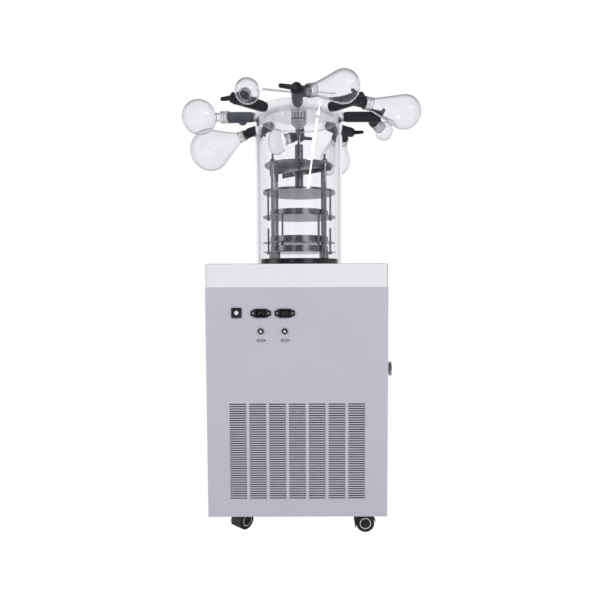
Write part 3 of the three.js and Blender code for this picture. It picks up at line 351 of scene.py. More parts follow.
chamber = Shape()
chamber.lathe([(BORE, CHAMBER_FOOT), (RADIUS - 0.8, CHAMBER_FOOT), (RADIUS, CHAMBER_FOOT + 0.8),
               (RADIUS, RING_LOW), (BORE, RING_LOW)], ACRYLIC, up, 160)
chamber.lathe([(RING_BORE, RING_LOW + 0.03), (RADIUS, RING_LOW + 0.03), (RADIUS, LID_TOP - 1.8),
               (RADIUS - 1.8, LID_TOP), (23 + SEAT, LID_TOP), (23 + SEAT, LID_LOW), (RING_BORE, LID_LOW),
               (RING_BORE - 0.6, LID_LOW - 0.6), (RING_BORE - 0.6, RING_LOW + 0.6)], EDGE, up, 160)
for spoke in range(8):
    nozzle = up @ moved(z=NOZZLE_LEVEL) @ turned(45 * spoke, "Z") @ FACE_X
    chamber.lathe([(5, RADIUS + 0.2), (12.4, RADIUS + 0.2), (13, RADIUS + 0.8), (13, FLANGE_END - 0.6),
                   (12.4, FLANGE_END), (8, FLANGE_END), (8, NOZZLE_END - 0.8), (7.4, NOZZLE_END),
                   (5, NOZZLE_END)], ACRYLIC, nozzle, 32)
stand_for(chamber, "chamber", "chamber_tube")

gasket = Shape()
gasket.lathe([(118.8, CHAMBER_FOOT - 0.5), (129.6, CHAMBER_FOOT - 0.5), (129.6, CHAMBER_FOOT - 0.15),
              (118.8, CHAMBER_FOOT - 0.15)], RUBBER, up, 96)
trim(gasket, "chamber_gasket", "cabinet")

GLAND_REACH = 41                  # how far the gland hangs under the lid
gland = Shape()
low = LID_LOW - SEAT - GLAND_REACH
gland.lathe([(4.8, low), (8.6, low), (9, low + 0.4), (12, low + 5), (22, low + 15), (23, low + 17),
             (23, low + 24), (22, low + 24.6), (19, low + 25), (19, low + 27), (22, low + 27.4),
             (23, low + 28), (23, LID_TOP + SEAT), (25, LID_TOP + SEAT), (25, LID_TOP + 6.4),
             (23, LID_TOP + 9), (4.8, LID_TOP + 9)], BRIGHT, up, 72)
# painted shade: dark rings in and beside the groove round the nut, and dark strips where its flutes lie; the
# flutes are not cut
for start, end, radius in ((24.7, 27.3, 19.2), (28.2, 29.8, 23.05), (17.4, 18.4, 23.05)):
    gland.lathe([(radius - 0.6, low + start), (radius, low + start), (radius, low + end),
                 (radius - 0.6, low + end)], DARK, up, 72)
FLUTES = 14
for flute in range(FLUTES):
    gland.box((22.4, -1.5, low + 31), (23.05, 1.5, low + 44), DARK,
              up @ turned(flute * 360 / FLUTES + 8, "Z"))
stand_for(gland, "gland", "lid_gland")

BAR_LEVEL, BAR_END, KNOB = 513, 106, 4.4
handle = Shape()
handle_place = up @ turned(16, "Z")
handle.rod(4.5, 319, BAR_LEVEL, STEEL, handle_place, 32)
handle.lathe([(0, 502), (8.4, 502), (9, 502.6), (9, 522), (7.4, 524), (0, 524)], STEEL, handle_place, 40)
handle.rod(3.2, -BAR_END, BAR_END, BRIGHT, handle_place @ moved(z=BAR_LEVEL) @ FACE_X, 20, soft=0.4)
for end in (-1, 1):
    handle.lathe([(0, -KNOB)] + arc(0, 0, KNOB, -75, 75, 10) + [(0, KNOB)], BRIGHT,
                 handle_place @ moved(x=end * (BAR_END - 0.2), z=BAR_LEVEL), 20)
stand_for(handle, "press_handle", "press_tee_handle")

# ------------------------------------------------------------------ stoppering rack
POST_X, POST_Y = 73, 61
POSTS = [(sx * POST_X, sy * POST_Y) for sx in (-1, 1) for sy in (-1, 1)]
SIDE = [(-93.5, 0), (93.5, 0)]    # rods at the sides, from the press plate and the lower shelf
CROSS = [(-56, 75), (56, -75)]    # rods that hang from the upper shelf
LOWER_SHELF, MIDDLE_SHELF, UPPER_SHELF, PRESS_PLATE, HEAD = 38, 66, 142, 213, 293
ROD, ROD_HOLE, POST_HOLE = 3.2, 4, 6.5


def hex_nut(shape, x, y, low, high, radius, mat):
    """Six-sided nut."""
    shape.slab(circle(radius, 6, x, y), low, high, mat, up, soft=0.5)


def thread(shape, x, y, radius, low, high, mat):
    """Threaded end, as a stack of fine ridges."""
    profile = [(0, low)]
    turns = int((high - low) / 1.25)
    pitch = (high - low) / turns
    for k in range(turns):
        z = low + k * pitch
        profile += [(radius * 0.86, z + 0.01), (radius, z + pitch / 2)]
    profile += [(radius * 0.8, high), (0, high)]
    shape.lathe(profile, mat, up @ moved(x, y), 24)


def drop_rods(shape, places, top, shelf_low, mat):
    """Hangers with their nuts under the shelf below."""
    nut_low = shelf_low - SEAT - 5
    for x, y in places:
        shape.rod(ROD, nut_low - 3, top, mat, up @ moved(x, y), 20)
        hex_nut(shape, x, y, nut_low, shelf_low - SEAT, 5, mat)


foot_plate = Shape()
foot_plate.lathe([(62, CHAMBER_FOOT), (116, CHAMBER_FOOT), (116, 18.2), (115, 19.6), (63, 19.6),
                  (62, 18.6)], DARK, up, 96)
for x, y in POSTS:
    foot_plate.rod(8.5, 19.5, 19.85, DARK, up @ moved(x, y), 24, soft=0.1)
stand_for(foot_plate, "foot_plate", "rack_foot_plate")

rack = Shape()
for x, y in POSTS:
    rack.rod(11, 19.9, 37.7, STEEL, up @ moved(x, y), 36, soft=1.2)
    rack.rod(5.5, 30, 294, STEEL, up @ moved(x, y), 32)
    hex_nut(rack, x, y, 296, 302.5, 8, STEEL)
    rack.lathe([(4, 295.9), (8.6, 295.9), (8.6, 296.7), (4, 296.7)], STEEL, up @ moved(x, y), 32)
    thread(rack, x, y, 3.6, 302, 318, SATIN)
rack.lathe([(13.5, HEAD), (102.4, HEAD), (103, HEAD + 0.6), (103, HEAD + 2.4), (102.4, HEAD + 3),
            (13.5, HEAD + 3)], STEEL, up, 96)
# channel under the head, from post to post
slant = up @ turned(math.degrees(math.atan2(-POST_Y, POST_X)), "Z")
CHANNEL = 30
half_chord = math.sqrt(101 ** 2 - CHANNEL ** 2)
rack.box((-half_chord, -CHANNEL, HEAD - 3), (half_chord, CHANNEL, HEAD + 0.2), STEEL, slant)
for side in (-1, 1):
    rack.box((-half_chord, side * CHANNEL, 275), (half_chord, side * (CHANNEL - 3), HEAD - 1), STEEL,
             slant, soft=0.6)
rack.lathe([(13.5, 275), (18.6, 275), (19.4, 276), (19.4, 293.2), (13.5, 293.2)], STEEL, up, 48)
stand_for(rack, "rack_frame", "rack_posts_and_head")


def plate_with_holes(shape, radius, low, high, holes, mat):
    """Round plate pierced by round holes."""
    pierced(shape, circle(radius, 96), [circle(r, 20, x, y) for x, y, r in holes], low, high, mat, up)


press = Shape()
plate_with_holes(press, 108, PRESS_PLATE, PRESS_PLATE + 6, [(x, y, POST_HOLE) for x, y in POSTS], STEEL)
press.lathe([(7.4, 218.8), (15, 218.8), (15, 234.2), (14.2, 235), (7.4, 235)], STEEL, up, 40)
drop_rods(press, SIDE, PRESS_PLATE + 1, UPPER_SHELF, STEEL)
stand_for(press, "press_plate", "press_disc")

screw = Shape()
pitch = 3.0
profile = [(0, 225.4), (7, 225.4), (7, 235.3)]
z = 235.3
while z + pitch < 357:
    profile += [(11.4, z), (12.5, z + 0.8), (12.5, z + 1.8), (11.4, z + 2.6)]
    z += pitch
profile += [(12.5, z), (12.5, 357), (10.5, 359), (4.8, 359), (4.8, 314), (0, 314)]
screw.lathe(profile, SATIN, up, 40)
stand_for(screw, "press_screw", "stoppering_screw")


def shelf(node, name, level, holes, hangers=(), uprights=()):
    """Shelf with its tray wall, and the rods that hang from it or stand in it."""
    body = Shape()
    top = level + 2
    plate_with_holes(body, 109, level, top, holes, STEEL)
    body.lathe([(85.5, top), (87, top - 0.05), (87, top + 17.6), (86.6, top + 18), (85.9, top + 18),
                (85.5, top + 17.6)], STEEL, up, 120)
    if hangers:
        drop_rods(body, hangers, level + 1, MIDDLE_SHELF, STEEL)
    for x, y in uprights:
        body.rod(ROD, level - 3, level + 74, STEEL, up @ moved(x, y), 20)
        hex_nut(body, x, y, level - 4.6, level, 5, STEEL)
    stand_for(body, node, name)


shelf("shelf_lower", "lower_shelf_tray", LOWER_SHELF, [(x, y, 6.1) for x, y in POSTS], uprights=SIDE)
shelf("shelf_middle", "middle_shelf_tray", MIDDLE_SHELF,
      [(x, y, POST_HOLE) for x, y in POSTS] + [(x, y, ROD_HOLE) for x, y in CROSS + SIDE])
shelf("shelf_upper", "upper_shelf_tray", UPPER_SHELF,
      [(x, y, POST_HOLE) for x, y in POSTS] + [(x, y, ROD_HOLE) for x, y in SIDE], hangers=CROSS)

trap = Shape()
trap.lathe([(0, -226.7), (103, -226.7), (109, -224), (111.5, -218), (111.5, SEAT), (136, SEAT),
            (137, 1.3), (137, 2.3), (136, 3.3), (111, 3.3), (110, 2.3), (110, -217), (107.5, -222.5),
            (102, -225), (0, -225)], SATIN, up, 96)
stand_for(trap, "cold_trap", "cold_trap_cup")

# ------------------------------------------------------------------ ports, valves and flasks
# azimuth of the port, roll of the valve, lift of its tap (degrees), form of the flask, radius of its bulb,
# distance of the bulb's centre along the neck's axis, whether the flask sits straight out
PORTS = [
    (180, 0, 0, "waisted", 51, 296, True), (135, -30, 30, "pear", 64, 158, False),
    (-135, -6, 0, "round", 32, 100, False), (-90, -5, 0, "pear", 41, 135, False),
    (-45, -9, 0, "pear", 46.5, 152, False), (0, -9, 0, "round", 29, 112, False),
    (45, -33, 40, "pear", 50, 148, False), (90, -4, 6, "round", 45, 110, False),
]
VALVE_END, ROOT, LEAN = 236.0, 210.0, 60.0   # end of a valve, where its branch starts, the branch's angle
REACH, THROUGH = 34.0, 208.0                 # end of a branch, end of a valve without a branch
NECK, NECK_LENGTH, WAIST, WALL = 17.5, 24.0, 11.0, 2.2


def plug_outline(tube, start):
    """Thin lip and short plug that the neck sits on."""
    return [(tube, start - 4.5), (tube + 0.6, start - 3), (16.6, start - 1.6), (17.4, start - 1),
            (17.4, start), (14.2, start), (14.2, start + 2.8), (13.2, start + 3.8), (5, start + 3.8)]


def valve(number, place, straight, lift):
    """Rubber valve body on its nozzle, and its tap."""
    body = Shape()
    rubber = BLOOM if number in (1, 4) else VALVE
    throat = [(8.6, FLANGE_END + SEAT), (12.9, FLANGE_END + SEAT), (13.5, 134), (13.9, 136), (13.9, 140),
              (15, 142.5), (15, 152), (14.5, 153), (15, 154)]
    stop = [(5, NOZZLE_END + SEAT), (8.6, NOZZLE_END + SEAT)]
    run = place @ FACE_X
    if straight:
        arm = place @ moved(x=172) @ turned(-90, "Z") @ FACE_X
        body.lathe(throat + plug_outline(15, THROUGH) + stop, rubber, run, 56)
        body.lathe([(8.7, 4), (14, 4), (14, 27.6), (14.6, 28.2), (14.6, 29.4), (14, 30), (8.7, 30)],
                   rubber, arm, 48)
    else:
        branch = place @ moved(x=ROOT) @ turned(LEAN, "Z") @ FACE_X
        body.lathe(throat + [(15, VALVE_END - 8), (15.5, VALVE_END - 7), (15.5, VALVE_END - 1.2),
                             (14.8, VALVE_END), (8.7, VALVE_END), (8.7, 205), (5, 205)] + stop,
                   rubber, run, 56)
        body.lathe([(0, 0), (14, 0)] + plug_outline(14, REACH) + [(5, REACH - 2), (0, REACH - 2)],
                   rubber, branch, 56)
    stand_for(body, f"valve_body_{number}", f"port_valve_{number}", 40)

    tap = Shape()
    outer = 30.0 if straight else VALVE_END
    axis = (place @ turned(lift, "X") @ FACE_X) if not straight else arm @ turned(180, "Z")
    base = outer + SEAT
    tap.lathe([(0, outer - 30), (7.4, outer - 30), (8, outer - 29), (8, base), (13.4, base), (14, base + 0.6),
               (14, base + 6), (12.6, base + 7), (4, base + 7), (3.4, base + 6.4), (0, base + 6.4)],
              PLASTIC, axis, 44)
    outline = [(-6.5, 0), (-4.6, -40.5)] + arc(0, -41.2, 4.6, 195, 345, 10) + [(4.6, -40.5), (6.5, 0)]
    lever = axis @ moved(z=base + 1) @ turned(-8, "X")
    tap.slab(outline, 0, 6.9, PLASTIC, lever, soft=1.1, steps=3)
    for rib in range(3):
        tap.box((-3.4, -39 + 4 * rib, 6.6), (3.4, -37.6 + 4 * rib, 7.0), PLASTIC, lever, soft=0.15)
    stand_for(tap, f"valve_tap_{number}", f"port_tap_{number}")


def flask_side(shape, bulb, centre, mouth, shrink, steps=40):
    """Half outline of a flask from its mouth to its bottom; shrink gives the inside."""
    neck, radius = NECK - shrink, bulb - shrink
    reach = min(NECK_LENGTH, centre - mouth - math.sqrt(bulb ** 2 - NECK ** 2))
    points = [(neck, mouth)]
    start = math.asin(neck / radius)
    if shape == "pear":
        fall = centre - mouth - NECK_LENGTH
        points.append((neck, mouth + NECK_LENGTH - 3))
        start = math.atan2(neck, fall) + math.acos(radius / math.hypot(neck, fall))
        tangent = (radius * math.sin(start), centre - radius * math.cos(start))
        bend = ((neck, mouth + NECK_LENGTH - 3), (neck + 0.3, mouth + NECK_LENGTH + 2.5), tangent)
        for k in range(1, 6):
            t = k / 6
            points.append(tuple((1 - t) ** 2 * a + 2 * t * (1 - t) * b + t * t * c for a, b, c in zip(*bend)))
    elif shape == "waisted":
        waist = WAIST - shrink
        start = math.asin(waist / radius)
        points += [(neck, mouth + reach - 2), (neck - 0.8, mouth + reach), (waist + 0.6, mouth + reach + 3),
                   (waist, mouth + reach + 5)]
        start += 0.05
    else:
        start += 0.06
        points.append((neck, centre - radius * math.cos(start) - 5))
    for i in range(steps + 1):
        angle = start + (math.pi - start) * i / steps
        points.append((0 if i == steps else radius * math.sin(angle), centre - radius * math.cos(angle)))
    return points


def flask(number, place, shape, bulb, centre, straight):
    """Glass flask with ring beads round its neck."""
    mouth = (THROUGH if straight else REACH) + SEAT
    axis = place @ FACE_X if straight else place @ moved(x=ROOT) @ turned(LEAN, "Z") @ FACE_X
    outside = flask_side(shape, bulb, centre, mouth, 0.0)
    inside = flask_side(shape, bulb, centre, mouth, WALL)
    glass = Shape()
    length = outside[1][1] - mouth
    rings = [(17.0, mouth), (NECK, mouth + 0.6), (NECK, mouth + 2.6), (16.0, mouth + 3.2)]
    for k in range(1, int((length - 3.2) / 4.4) + 1):
        low = mouth + 4.4 * k
        rings += [(16.0, low), (NECK, low + 0.7), (NECK, low + 2.2), (16.0, low + 2.9)]
    outside = rings + outside[1:]
    glass.lathe(outside + inside[::-1][:-1] + [(15.6, mouth)], GLASS, axis, 96)
    stand_for(glass, f"flask_{number}", f"glass_flask_{number}", 50)


for index, (azimuth, roll, lift, form, bulb, centre, straight) in enumerate(PORTS):
    spoke = up @ moved(z=NOZZLE_LEVEL) @ turned(azimuth, "Z") @ turned(roll, "X")
    valve(index + 1, spoke, straight, lift)
    flask(index + 1, spoke, form, bulb, centre, straight)

# ------------------------------------------------------------------ casters
CORNERS = {"rear_left": (-157, -248, 50), "rear_right": (157, -248, 0),
           "front_left": (-157, 248, 155), "front_right": (157, 248, 25)}
WHEEL, HOOD_INNER, HOOD_OUTER = 23.5, 25.0, 27.5
for corner, (x, y, yaw) in CORNERS.items():
    place = moved(x, y) @ turned(yaw, "Z")
    across = place @ moved(17, 0, WHEEL) @ turned(90, "X")
    fork = Shape()
    hood = arc(0, 0, HOOD_OUTER, 12, 202, 38) + arc(0, 0, HOOD_INNER, 202, 12, 38)
    fork.slab(hood, -17, 17, GLOSS, across, soft=0.7)
    web = arc(0, 0, HOOD_OUTER, 12, 204, 32) + [(-9, -8), (-4, -9.6), (4, -9.6), (9, -8)]
    fork.slab(web, -2.5, 2.5, GLOSS, across)
    fork.lathe([(0, 50), (10, 50), (12, 52), (11.2, 55), (11.2, 57), (16, 57.4), (16, 59.4), (15.4, 59.7),
                (0, 59.7)], GLOSS, place, 40)
    fork.lathe([(12.6, 56.2), (14.6, 56.2), (14.6, 57.6), (12.6, 57.6)], SATIN, place, 40)
    fork.rod(5, 59, 73.7, SATIN, place, 24)
    stand_for(fork, f"caster_fork_{corner}", f"caster_hood_{corner}")

    wheels = Shape()
    near, far = 3.0, 16.5
    side = [(4, near), (WHEEL - 1.2, near), (WHEEL, near + 1.2), (WHEEL, far - 3.2), (WHEEL - 1, far - 1.2),
            (WHEEL - 3, far - 0.2), (17.5, far - 0.2), (17, far - 1.2), (9.5, far - 1.6), (8.4, far - 1.4),
            (7.8, far - 0.2), (6.6, far), (0, far)]
    wheels.lathe([(a, -b) for a, b in side[::-1]] + side, RUBBER, across, 64)
    for face in (-1, 1):
        cap = across @ (turned(180, "X") if face < 0 else Matrix())
        wheels.lathe([(12.6, far - 1.45), (14.6, far - 1.35), (14.6, far - 0.5), (12.6, far - 0.5)],
                     BRIGHT, cap, 64)
        wheels.lathe([(0, far - 0.4), (3.6, far - 0.4), (3.6, far - 0.05), (0, far - 0.01)], BRIGHT, cap, 24)
    stand_for(wheels, f"caster_wheels_{corner}", f"caster_twin_wheels_{corner}")

# ------------------------------------------------------------------ refrigeration behind the grille
COIL_LOW, COIL_HIGH, COIL_FRONT, COIL_BACK = 62.3, 350.3, -278.0, -234.0
COIL_HALF, SHEET, SHROUD_BACK, SHROUD_BORE = 172.5, 2, -208, 104   # sheet metal shroud round the fan
FIN_GAPS, TUBE_ROWS = 86, 11
coil = Shape()
for k in range(FIN_GAPS + 1):
    x = -172.4 + k * 344.5 / FIN_GAPS
    coil.box((x - 0.25, COIL_FRONT, COIL_LOW + 2), (x + 0.25, COIL_BACK - 2, COIL_HIGH - 2), FINS)
for side in (-1, 1):
    coil.box((side * COIL_HALF, COIL_FRONT, COIL_LOW), (side * 170, COIL_BACK, COIL_HIGH), ZINC)
coil.box((-COIL_HALF, COIL_FRONT, COIL_LOW), (COIL_HALF, COIL_BACK, COIL_LOW + SHEET), ZINC)
coil.box((-COIL_HALF, COIL_FRONT, COIL_HIGH - SHEET), (COIL_HALF, COIL_BACK, COIL_HIGH), ZINC)
for row in range(TUBE_ROWS):
    for depth in (-267.0, -245.0):
        z = COIL_LOW + 14 + row * 25.8
        coil.rod(4.6, -171.5, 171.5, TUBE, moved(0, depth, z) @ FACE_X, 16)
MIDDLE = 206.3
throat = moved(0, 0, MIDDLE) @ turned(-90, "X")
pierced(coil, rounded(345, 288, 2), [circle(SHROUD_BORE, 96)], SHROUD_BACK - SHEET, SHROUD_BACK, ZINC, throat)
for side in (-1, 1):
    coil.box((side * COIL_HALF, COIL_BACK - 1, COIL_LOW),
             (side * (COIL_HALF - SHEET), SHROUD_BACK, COIL_HIGH), ZINC)
coil.box((-COIL_HALF, COIL_BACK - 1, COIL_LOW), (COIL_HALF, SHROUD_BACK, COIL_LOW + SHEET), ZINC)
coil.box((-COIL_HALF, COIL_BACK - 1, COIL_HIGH - SHEET), (COIL_HALF, SHROUD_BACK, COIL_HIGH), ZINC)
coil.lathe([(0, -184), (25, -184), (28, -181), (28, -141), (25, -138), (0, -138)], DARK, throat, 48)
coil.rod(4, -194, -183, SATIN, throat, 20)
for angle in (90, 210, 330):
    arm = moved(0, 0, MIDDLE) @ turned(-angle, "Y")
    coil.box((20, -184, -5), (110, -180, 5), ZINC, arm, soft=0.5)
    coil.box((104, -209, -5), (110, -180, 5), ZINC, arm, soft=0.5)
stand_for(coil, "condenser", "condenser_coil")

fan = Shape()
fan_place = moved(0, -197, MIDDLE) @ turned(-90, "X")
fan.lathe([(4.6, -9), (24, -9), (26, -7), (26, 8), (25, 9), (4.6, 9)], PLASTIC, fan_place, 48)
BLADES, BLADE_ROOT, BLADE_TIP = 5, 22, 97
for k in range(BLADES):
    blade = bmesh.new()
    rows = []
    for i in range(9):
        radius = BLADE_ROOT + (BLADE_TIP - BLADE_ROOT) * i / 8
        spread = 20 + 8 * i / 8
        pitch = math.radians(19 - 6 * i / 8)
        row = []
        for j in range(7):
            along = (j / 6 - 0.5) * 2 * spread * (radius / BLADE_TIP) ** 0.15
            angle = along * math.cos(pitch) / radius
            row.append(blade.verts.new((radius * math.cos(angle), radius * math.sin(angle),
                                        along * math.sin(pitch))))
        rows.append(row)
    for i in range(8):
        for j in range(6):
            blade.faces.new((rows[i][j], rows[i + 1][j], rows[i + 1][j + 1], rows[i][j + 1]))
    bmesh.ops.solidify(blade, geom=blade.faces[:], thickness=1.2)
    fan.take(blade, PLASTIC, fan_place @ turned(360 / BLADES * k, "Z"))
stand_for(fan, "fan_blade", "cooling_fan")

pot = Shape()
pot_place = moved(0, 130, 62.3)
pot.lathe([(0, 14)] + arc(60, 40, 26, -90, 0, 8) + [(86, 103), (89, 104.5), (89, 110), (86, 111.5)]
          + arc(46, 175, 40, 0, 90, 10) + [(0, 215)], DARK, pot_place, 72)
for k in range(4):
    foot = pot_place @ turned(45 + 90 * k, "Z")
    pot.rod(10.5, 0, 15.5, RUBBER, foot @ moved(x=86), 28, soft=1.5)
    pot.box((30, -12, 12), (92, 12, 15.6), DARK, foot, soft=0.8)
pot.rod(6, 82, 111.5, TUBE, pot_place @ moved(z=161) @ turned(90, "X"), 20)
stand_for(pot, "compressor", "sealed_compressor")

# ------------------------------------------------------------------ service panel fittings
FACE = -HALF_DEPTH - SEAT


def on_panel(x, down):
    """Place of a fitting drawn in the XY plane and facing +Z, on the service panel."""
    return moved(x, FACE, HOOD_TOP - down) @ turned(90, "X")


def screw_head(shape, place, radius, high, mat=SATIN):
    """Domed screw head with a crossed recess drawn as dark bars of painted shade."""
    shape.lathe([(0, 0), (radius, 0), (radius, high * 0.35), (radius * 0.7, high * 0.85), (0, high)],
                mat, place, 28)
    for angle in (0, 90):
        shape.box((-radius * 0.6, -radius * 0.12, high * 0.7), (radius * 0.6, radius * 0.12, high * 1.03),
                  DARK, place @ turned(angle, "Z"))


signal = Shape()
place = on_panel(-148.5, 120.5)
signal.slab(rounded(25, 25, 2), 0, 2.4, PLASTIC, place, soft=0.5)
signal.lathe([(4, -17.5), (9, -17.5), (9, 2.7), (8.4, 3), (5.6, 3), (5.2, 2.4), (4, 2.2)], PLASTIC, place, 48)
signal.lathe([(0, -17.4), (3.9, -17.4), (3.9, 2.3), (5.1, 2.3), (5.1, 2.7), (4.7, 3), (1.1, 3), (0.9, 2.7),
              (0, 2.7)], WHITE, place, 40)
stand_for(signal, "signal_socket", "signal_socket_fitting")


def eared_outline():
    """Flange of a mains socket with an ear at each end."""
    shoulder, tall = 15.5, 11.2
    return [(-shoulder + 3, -tall), (shoulder - 3, -tall), (25, -5.5), (25, 5.5), (shoulder - 3, tall),
            (-shoulder + 3, tall), (-25, 5.5), (-25, -5.5)]


def mains_socket(node, name, x, inlet):
    """Recess with three pins for an inlet, or a core with three slots for an outlet, painted dark as shade.
    """
    body = Shape()
    place = on_panel(x, 121.5)
    recess = [rounded(24, 16, 2, steps=4)]
    pierced(body, eared_outline(), recess, 0, 2.6, PLASTIC, place)
    pierced(body, rounded(27.4, 19.4, 2.6), recess, 2.4, 3.0, PLASTIC, place)
    pierced(body, rounded(27, 19, 1.5), recess, -17.9, 0.1, PLASTIC, place)
    body.box((-13.4, -9.4, -17.9), (13.4, 9.4, -14), PLASTIC, place)
    if not inlet:
        core = [(-10.5, -6.5), (10.5, -6.5), (10.5, 3.5), (7.5, 6.5), (-7.5, 6.5), (-10.5, 3.5)]
        body.slab(core, -15, -0.2, PLASTIC, place, soft=0.5)
    for px, pz in ((-7, -2), (0, 2), (7, -2)):
        if inlet:
            body.box((px - 1, pz - 2, -14.5), (px + 1, pz + 2, -5), ZINC, place, soft=0.3)
        else:
            # outlet slots: dark marks of painted shade on the core, not cut
            body.box((px - 1.1, pz - 2.1, -0.6), (px + 1.1, pz + 2.1, -0.1), DARK, place)
    for sx in (-1, 1):
        screw_head(body, place @ moved(sx * 18.6, 0, 1.6), 2.4, 1.4, BRIGHT)
    stand_for(body, node, name)


mains_socket("power_inlet", "power_inlet_fitting", -88.5, True)
mains_socket("pump_outlet", "pump_outlet_fitting", -29.5, False)

for node, x in (("fuse_holder_left", -89), ("fuse_holder_right", -30)):
    body = Shape()
    place = on_panel(x, 166)
    body.lathe([(0, -26), (6, -26), (6, 0), (7.6, 0), (7.6, 2.6), (6.9, 3.8), (5.6, 4.2), (5.4, 3.4),
                (0, 3.4)], GLOSS, place, 56)
    # white wedge on the cap: painted highlight standing in for the cap's reflection
    body.slab([(-3.6, -2.8), (3.6, -2.8), (0.6, 3.4), (-0.6, 3.4)], 3, 4.6, WHITE, place, soft=0.2)
    stand_for(body, node, node + "_cap")
    mark = Shape()
    sign = on_panel(x, 189) @ moved(0, 0, -0.28)
    pierced(mark, rounded(18, 8, 0.9), [rounded(15.4, 5.4, 0.3)], 0, 0.06, INK, sign)
    mark.box((-14, -0.65, 0), (14, 0.65, 0.06), INK, sign)
    trim(mark, node + "_symbol", "cabinet")

port = Shape()
place = moved(HALF_WIDTH, -150, 408) @ FACE_X
port.lathe([(12.5, -30), (14.5, -30), (14.5, SEAT), (25.4, SEAT), (26, 0.9), (26, 2.4), (25.4, 3), (15, 3),
            (14.5, 3.5), (14.5, 21), (15.5, 23), (20, 25.6), (20, 29.4), (19.4, 30), (14, 30), (13.4, 29),
            (12.5, 28.6)], SATIN, place, 64)
for k in range(4):
    screw_head(port, place @ turned(45 + 90 * k, "Z") @ moved(21, 0, 2.8), 2.4, 1.2)
stand_for(port, "vacuum_port", "vacuum_flange")

# thin dark strip of painted shade along the hood's upper edge on the service side, where the sheet is folded
fold_shade_strip = Shape()
fold_shade_strip.box((-219, -1.45, 0), (219, 1.45, 0.1), FOLD_SHADE,
         moved(0, -HALF_DEPTH + 2.6, HOOD_TOP - 0.6) @ turned(23, "X"))
trim(fold_shade_strip, "hood_fold_painted_shade", "cabinet")

# ------------------------------------------------------------------ operator's side
panel_screen = Shape()
place = moved(0, HALF_DEPTH + SEAT, HOOD_TOP - 150) @ turned(180, "Z") @ turned(90, "X")
pierced(panel_screen, rounded(172, 112, 4), [rounded(150, 90, 1)], 0, 4.2, GLOSS, place)
pierced(panel_screen, rounded(168, 108, 4), [rounded(152, 92, 1)], 4.1, 5.0, GLOSS, place)
panel_screen.slab(rounded(151, 91, 1), -18, 3.8, SCREEN, place)
stand_for(panel_screen, "touch_screen", "touch_screen_panel")

# ------------------------------------------------------------------ studio
# camera fitted to the photograph: lens in millimetres, shift in picture widths, degrees, place in metres
LENS, SHIFT_X, SHIFT_Y = 30.9006, -0.019616667, 0.008466667
PITCH, ROLL, EYE = -3.365, 0.175, (0.037, -1.5626, 0.6674)
camera_data = bpy.data.cameras.new("camera")
camera_data.sensor_width = 36.0
camera_data.lens = LENS
camera_data.shift_x = SHIFT_X
camera_data.shift_y = SHIFT_Y
camera = bpy.data.objects.new("camera", camera_data)
camera.location = EYE
camera.rotation_euler = (math.radians(90 + PITCH), math.radians(ROLL), 0)
bpy.context.scene.collection.objects.link(camera)
scene = bpy.context.scene
scene.camera = camera
scene.view_settings.view_transform = "Standard"

world = bpy.data.worlds.new("studio")
scene.world = world
world.use_nodes = True
tree = world.node_tree
tree.nodes.clear()
coords = tree.nodes.new("ShaderNodeTexCoord")
split = tree.nodes.new("ShaderNodeSeparateXYZ")
tree.links.new(coords.outputs["Generated"], split.inputs["Vector"])


def maths(kind, *values):
    """Result of a Math node on numbers or sockets."""
    node = tree.nodes.new("ShaderNodeMath")
    node.operation = kind
    for socket, value in zip(node.inputs, values):
        if isinstance(value, (int, float)):
            socket.default_value = value
        else:
            tree.links.new(value, socket)
    return node.outputs[0]


height = maths("MULTIPLY_ADD", split.outputs["Z"], 0.5, 0.5)
around = maths("ARCTAN2", split.outputs["Y"], split.outputs["X"])
turn = maths("MULTIPLY_ADD", around, 1 / (2 * math.pi), 0.5)
# Seen in metal and glass: -X at 0, the camera's side at 0.25, +X at 0.5, the white wall behind at 0.75.
BANDS = [(0.00, 0.42), (0.05, 0.85), (0.10, 0.12), (0.17, 0.10), (0.20, 0.45), (0.225, 0.12), (0.28, 0.14),
         (0.30, 0.70), (0.34, 0.70), (0.37, 0.12), (0.50, 0.34), (0.58, 0.15), (0.64, 0.60), (0.68, 1.0),
         (0.82, 1.0), (0.87, 0.50), (0.94, 0.16)]
walls = ramp(tree, turn, [(at, (value, value, value * 1.03)) for at, value in BANDS])
CEILING = [(0.0, 0.30), (0.40, 0.55), (0.50, 1.0), (0.70, 1.0), (0.80, 0.25), (1.0, 0.45)]
levels = ramp(tree, height, [(at, (value, value, value)) for at, value in CEILING])
blend = tree.nodes.new("ShaderNodeMix")
blend.data_type = "RGBA"
blend.blend_type = "MULTIPLY"
blend.inputs["Factor"].default_value = 1.0
tree.links.new(walls, blend.inputs[6])
tree.links.new(levels, blend.inputs[7])


def background(colour, strength):
    """Background shader with a fixed or a linked colour."""
    node = tree.nodes.new("ShaderNodeBackground")
    node.inputs["Strength"].default_value = strength
    if isinstance(colour, tuple):
        node.inputs["Color"].default_value = colour
    else:
        tree.links.new(colour, node.inputs["Color"])
    return node.outputs[0]


def mixed(factor, first, second):
    """Mix of two shaders, in the current tree."""
    node = tree.nodes.new("ShaderNodeMixShader")
    tree.links.new(factor, node.inputs["Fac"])
    tree.links.new(first, node.inputs[1])
    tree.links.new(second, node.inputs[2])
    return node.outputs[0]


path = tree.nodes.new("ShaderNodeLightPath")
mirrored = maths("MAXIMUM", path.outputs["Is Glossy Ray"], path.outputs["Is Transmission Ray"])
room = mixed(mirrored, background((0.86, 0.87, 0.90, 1.0), 0.62), background(blend.outputs[2], 1.0))
seen = mixed(path.outputs["Is Camera Ray"], room, background((1.0, 1.0, 1.0, 1.0), 1.0))
out = tree.nodes.new("ShaderNodeOutputWorld")
tree.links.new(seen, out.inputs["Surface"])

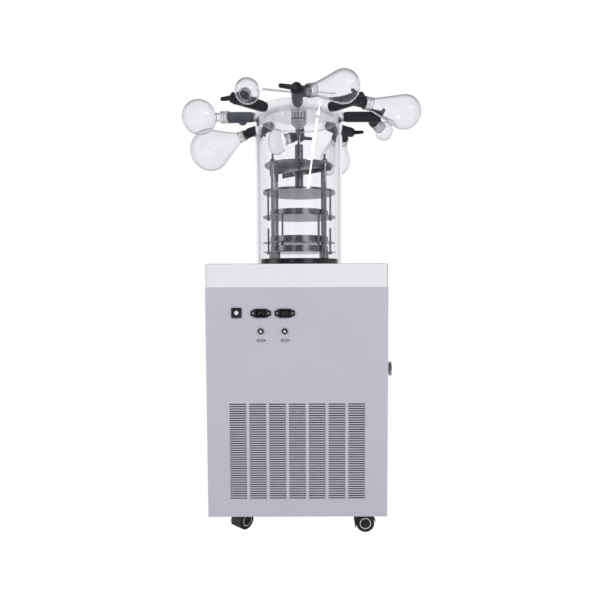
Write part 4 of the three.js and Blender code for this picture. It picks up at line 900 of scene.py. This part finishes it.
floor_mat, tree, shader = new_material("studio_floor")
shader.inputs["Base Color"].default_value = (0.78, 0.78, 0.79, 1.0)
shader.inputs["Roughness"].default_value = 0.9
glow = tree.nodes.new("ShaderNodeEmission")
glow.inputs["Color"].default_value = (1.0, 1.0, 1.0, 1.0)
glow.inputs["Strength"].default_value = 1.0
path = tree.nodes.new("ShaderNodeLightPath")
tree.links.new(mixed(path.outputs["Is Camera Ray"], shader.outputs[0], glow.outputs[0]),
               tree.nodes["Material Output"].inputs["Surface"])
floor_mesh = bpy.data.meshes.new("floor")
floor_mesh.from_pydata([(-15, -15, 0), (15, -15, 0), (15, 15, 0), (-15, 15, 0)], [], [(0, 1, 2, 3)])
floor_mesh.materials.append(floor_mat)
floor = bpy.data.objects.new("floor", floor_mesh)
scene.collection.objects.link(floor)


def softbox(name, place, aim, wide, tall, power, mirrored=False):
    """Rectangular lamp; only a mirrored one shows in metal and glass."""
    light = bpy.data.lights.new(name, "AREA")
    light.shape = "RECTANGLE"
    light.size, light.size_y = wide, tall
    light.energy = power
    obj = bpy.data.objects.new(name, light)
    obj.location = place
    obj.rotation_euler = (Vector(aim) - Vector(place)).to_track_quat("-Z", "Y").to_euler()
    obj.visible_glossy = mirrored
    obj.visible_transmission = mirrored
    scene.collection.objects.link(obj)


softbox("key_left", (-1.6, -1.9, 1.7), (0, 0, 0.7), 1.1, 1.5, 20)
softbox("fill_right", (1.9, -1.5, 1.2), (0, 0, 0.6), 0.9, 1.6, 9)
softbox("top", (0.0, 0.1, 2.6), (0, 0, 0.9), 1.6, 1.6, 10)
softbox("window_left", (-1.33, -1.5, 1.70), (0, 0, 1.0), 0.07, 0.16, 0.15, mirrored=True)

# slanted strip lamp whose reflection runs down the right of the chamber, as the camera sees it
strip = bpy.data.objects["window_left"].copy()
strip.data = strip.data.copy()
strip.name = strip.data.name = "strip_right"
strip.data.size, strip.data.size_y, strip.data.energy = 0.072, 1.27, 5.5
high, low_end = Vector((1.76, -1.14, 1.80)), Vector((0.90, -1.90, 1.26))
middle = (high + low_end) / 2
along = (high - low_end).normalized()
away = (middle - Vector((0, 0, 1.02)))
away = (away - along * away.dot(along)).normalized()
axes = Matrix((along.cross(away), along, away)).transposed()
strip.matrix_world = Matrix.Translation(middle) @ axes.to_4x4()
scene.collection.objects.link(strip)
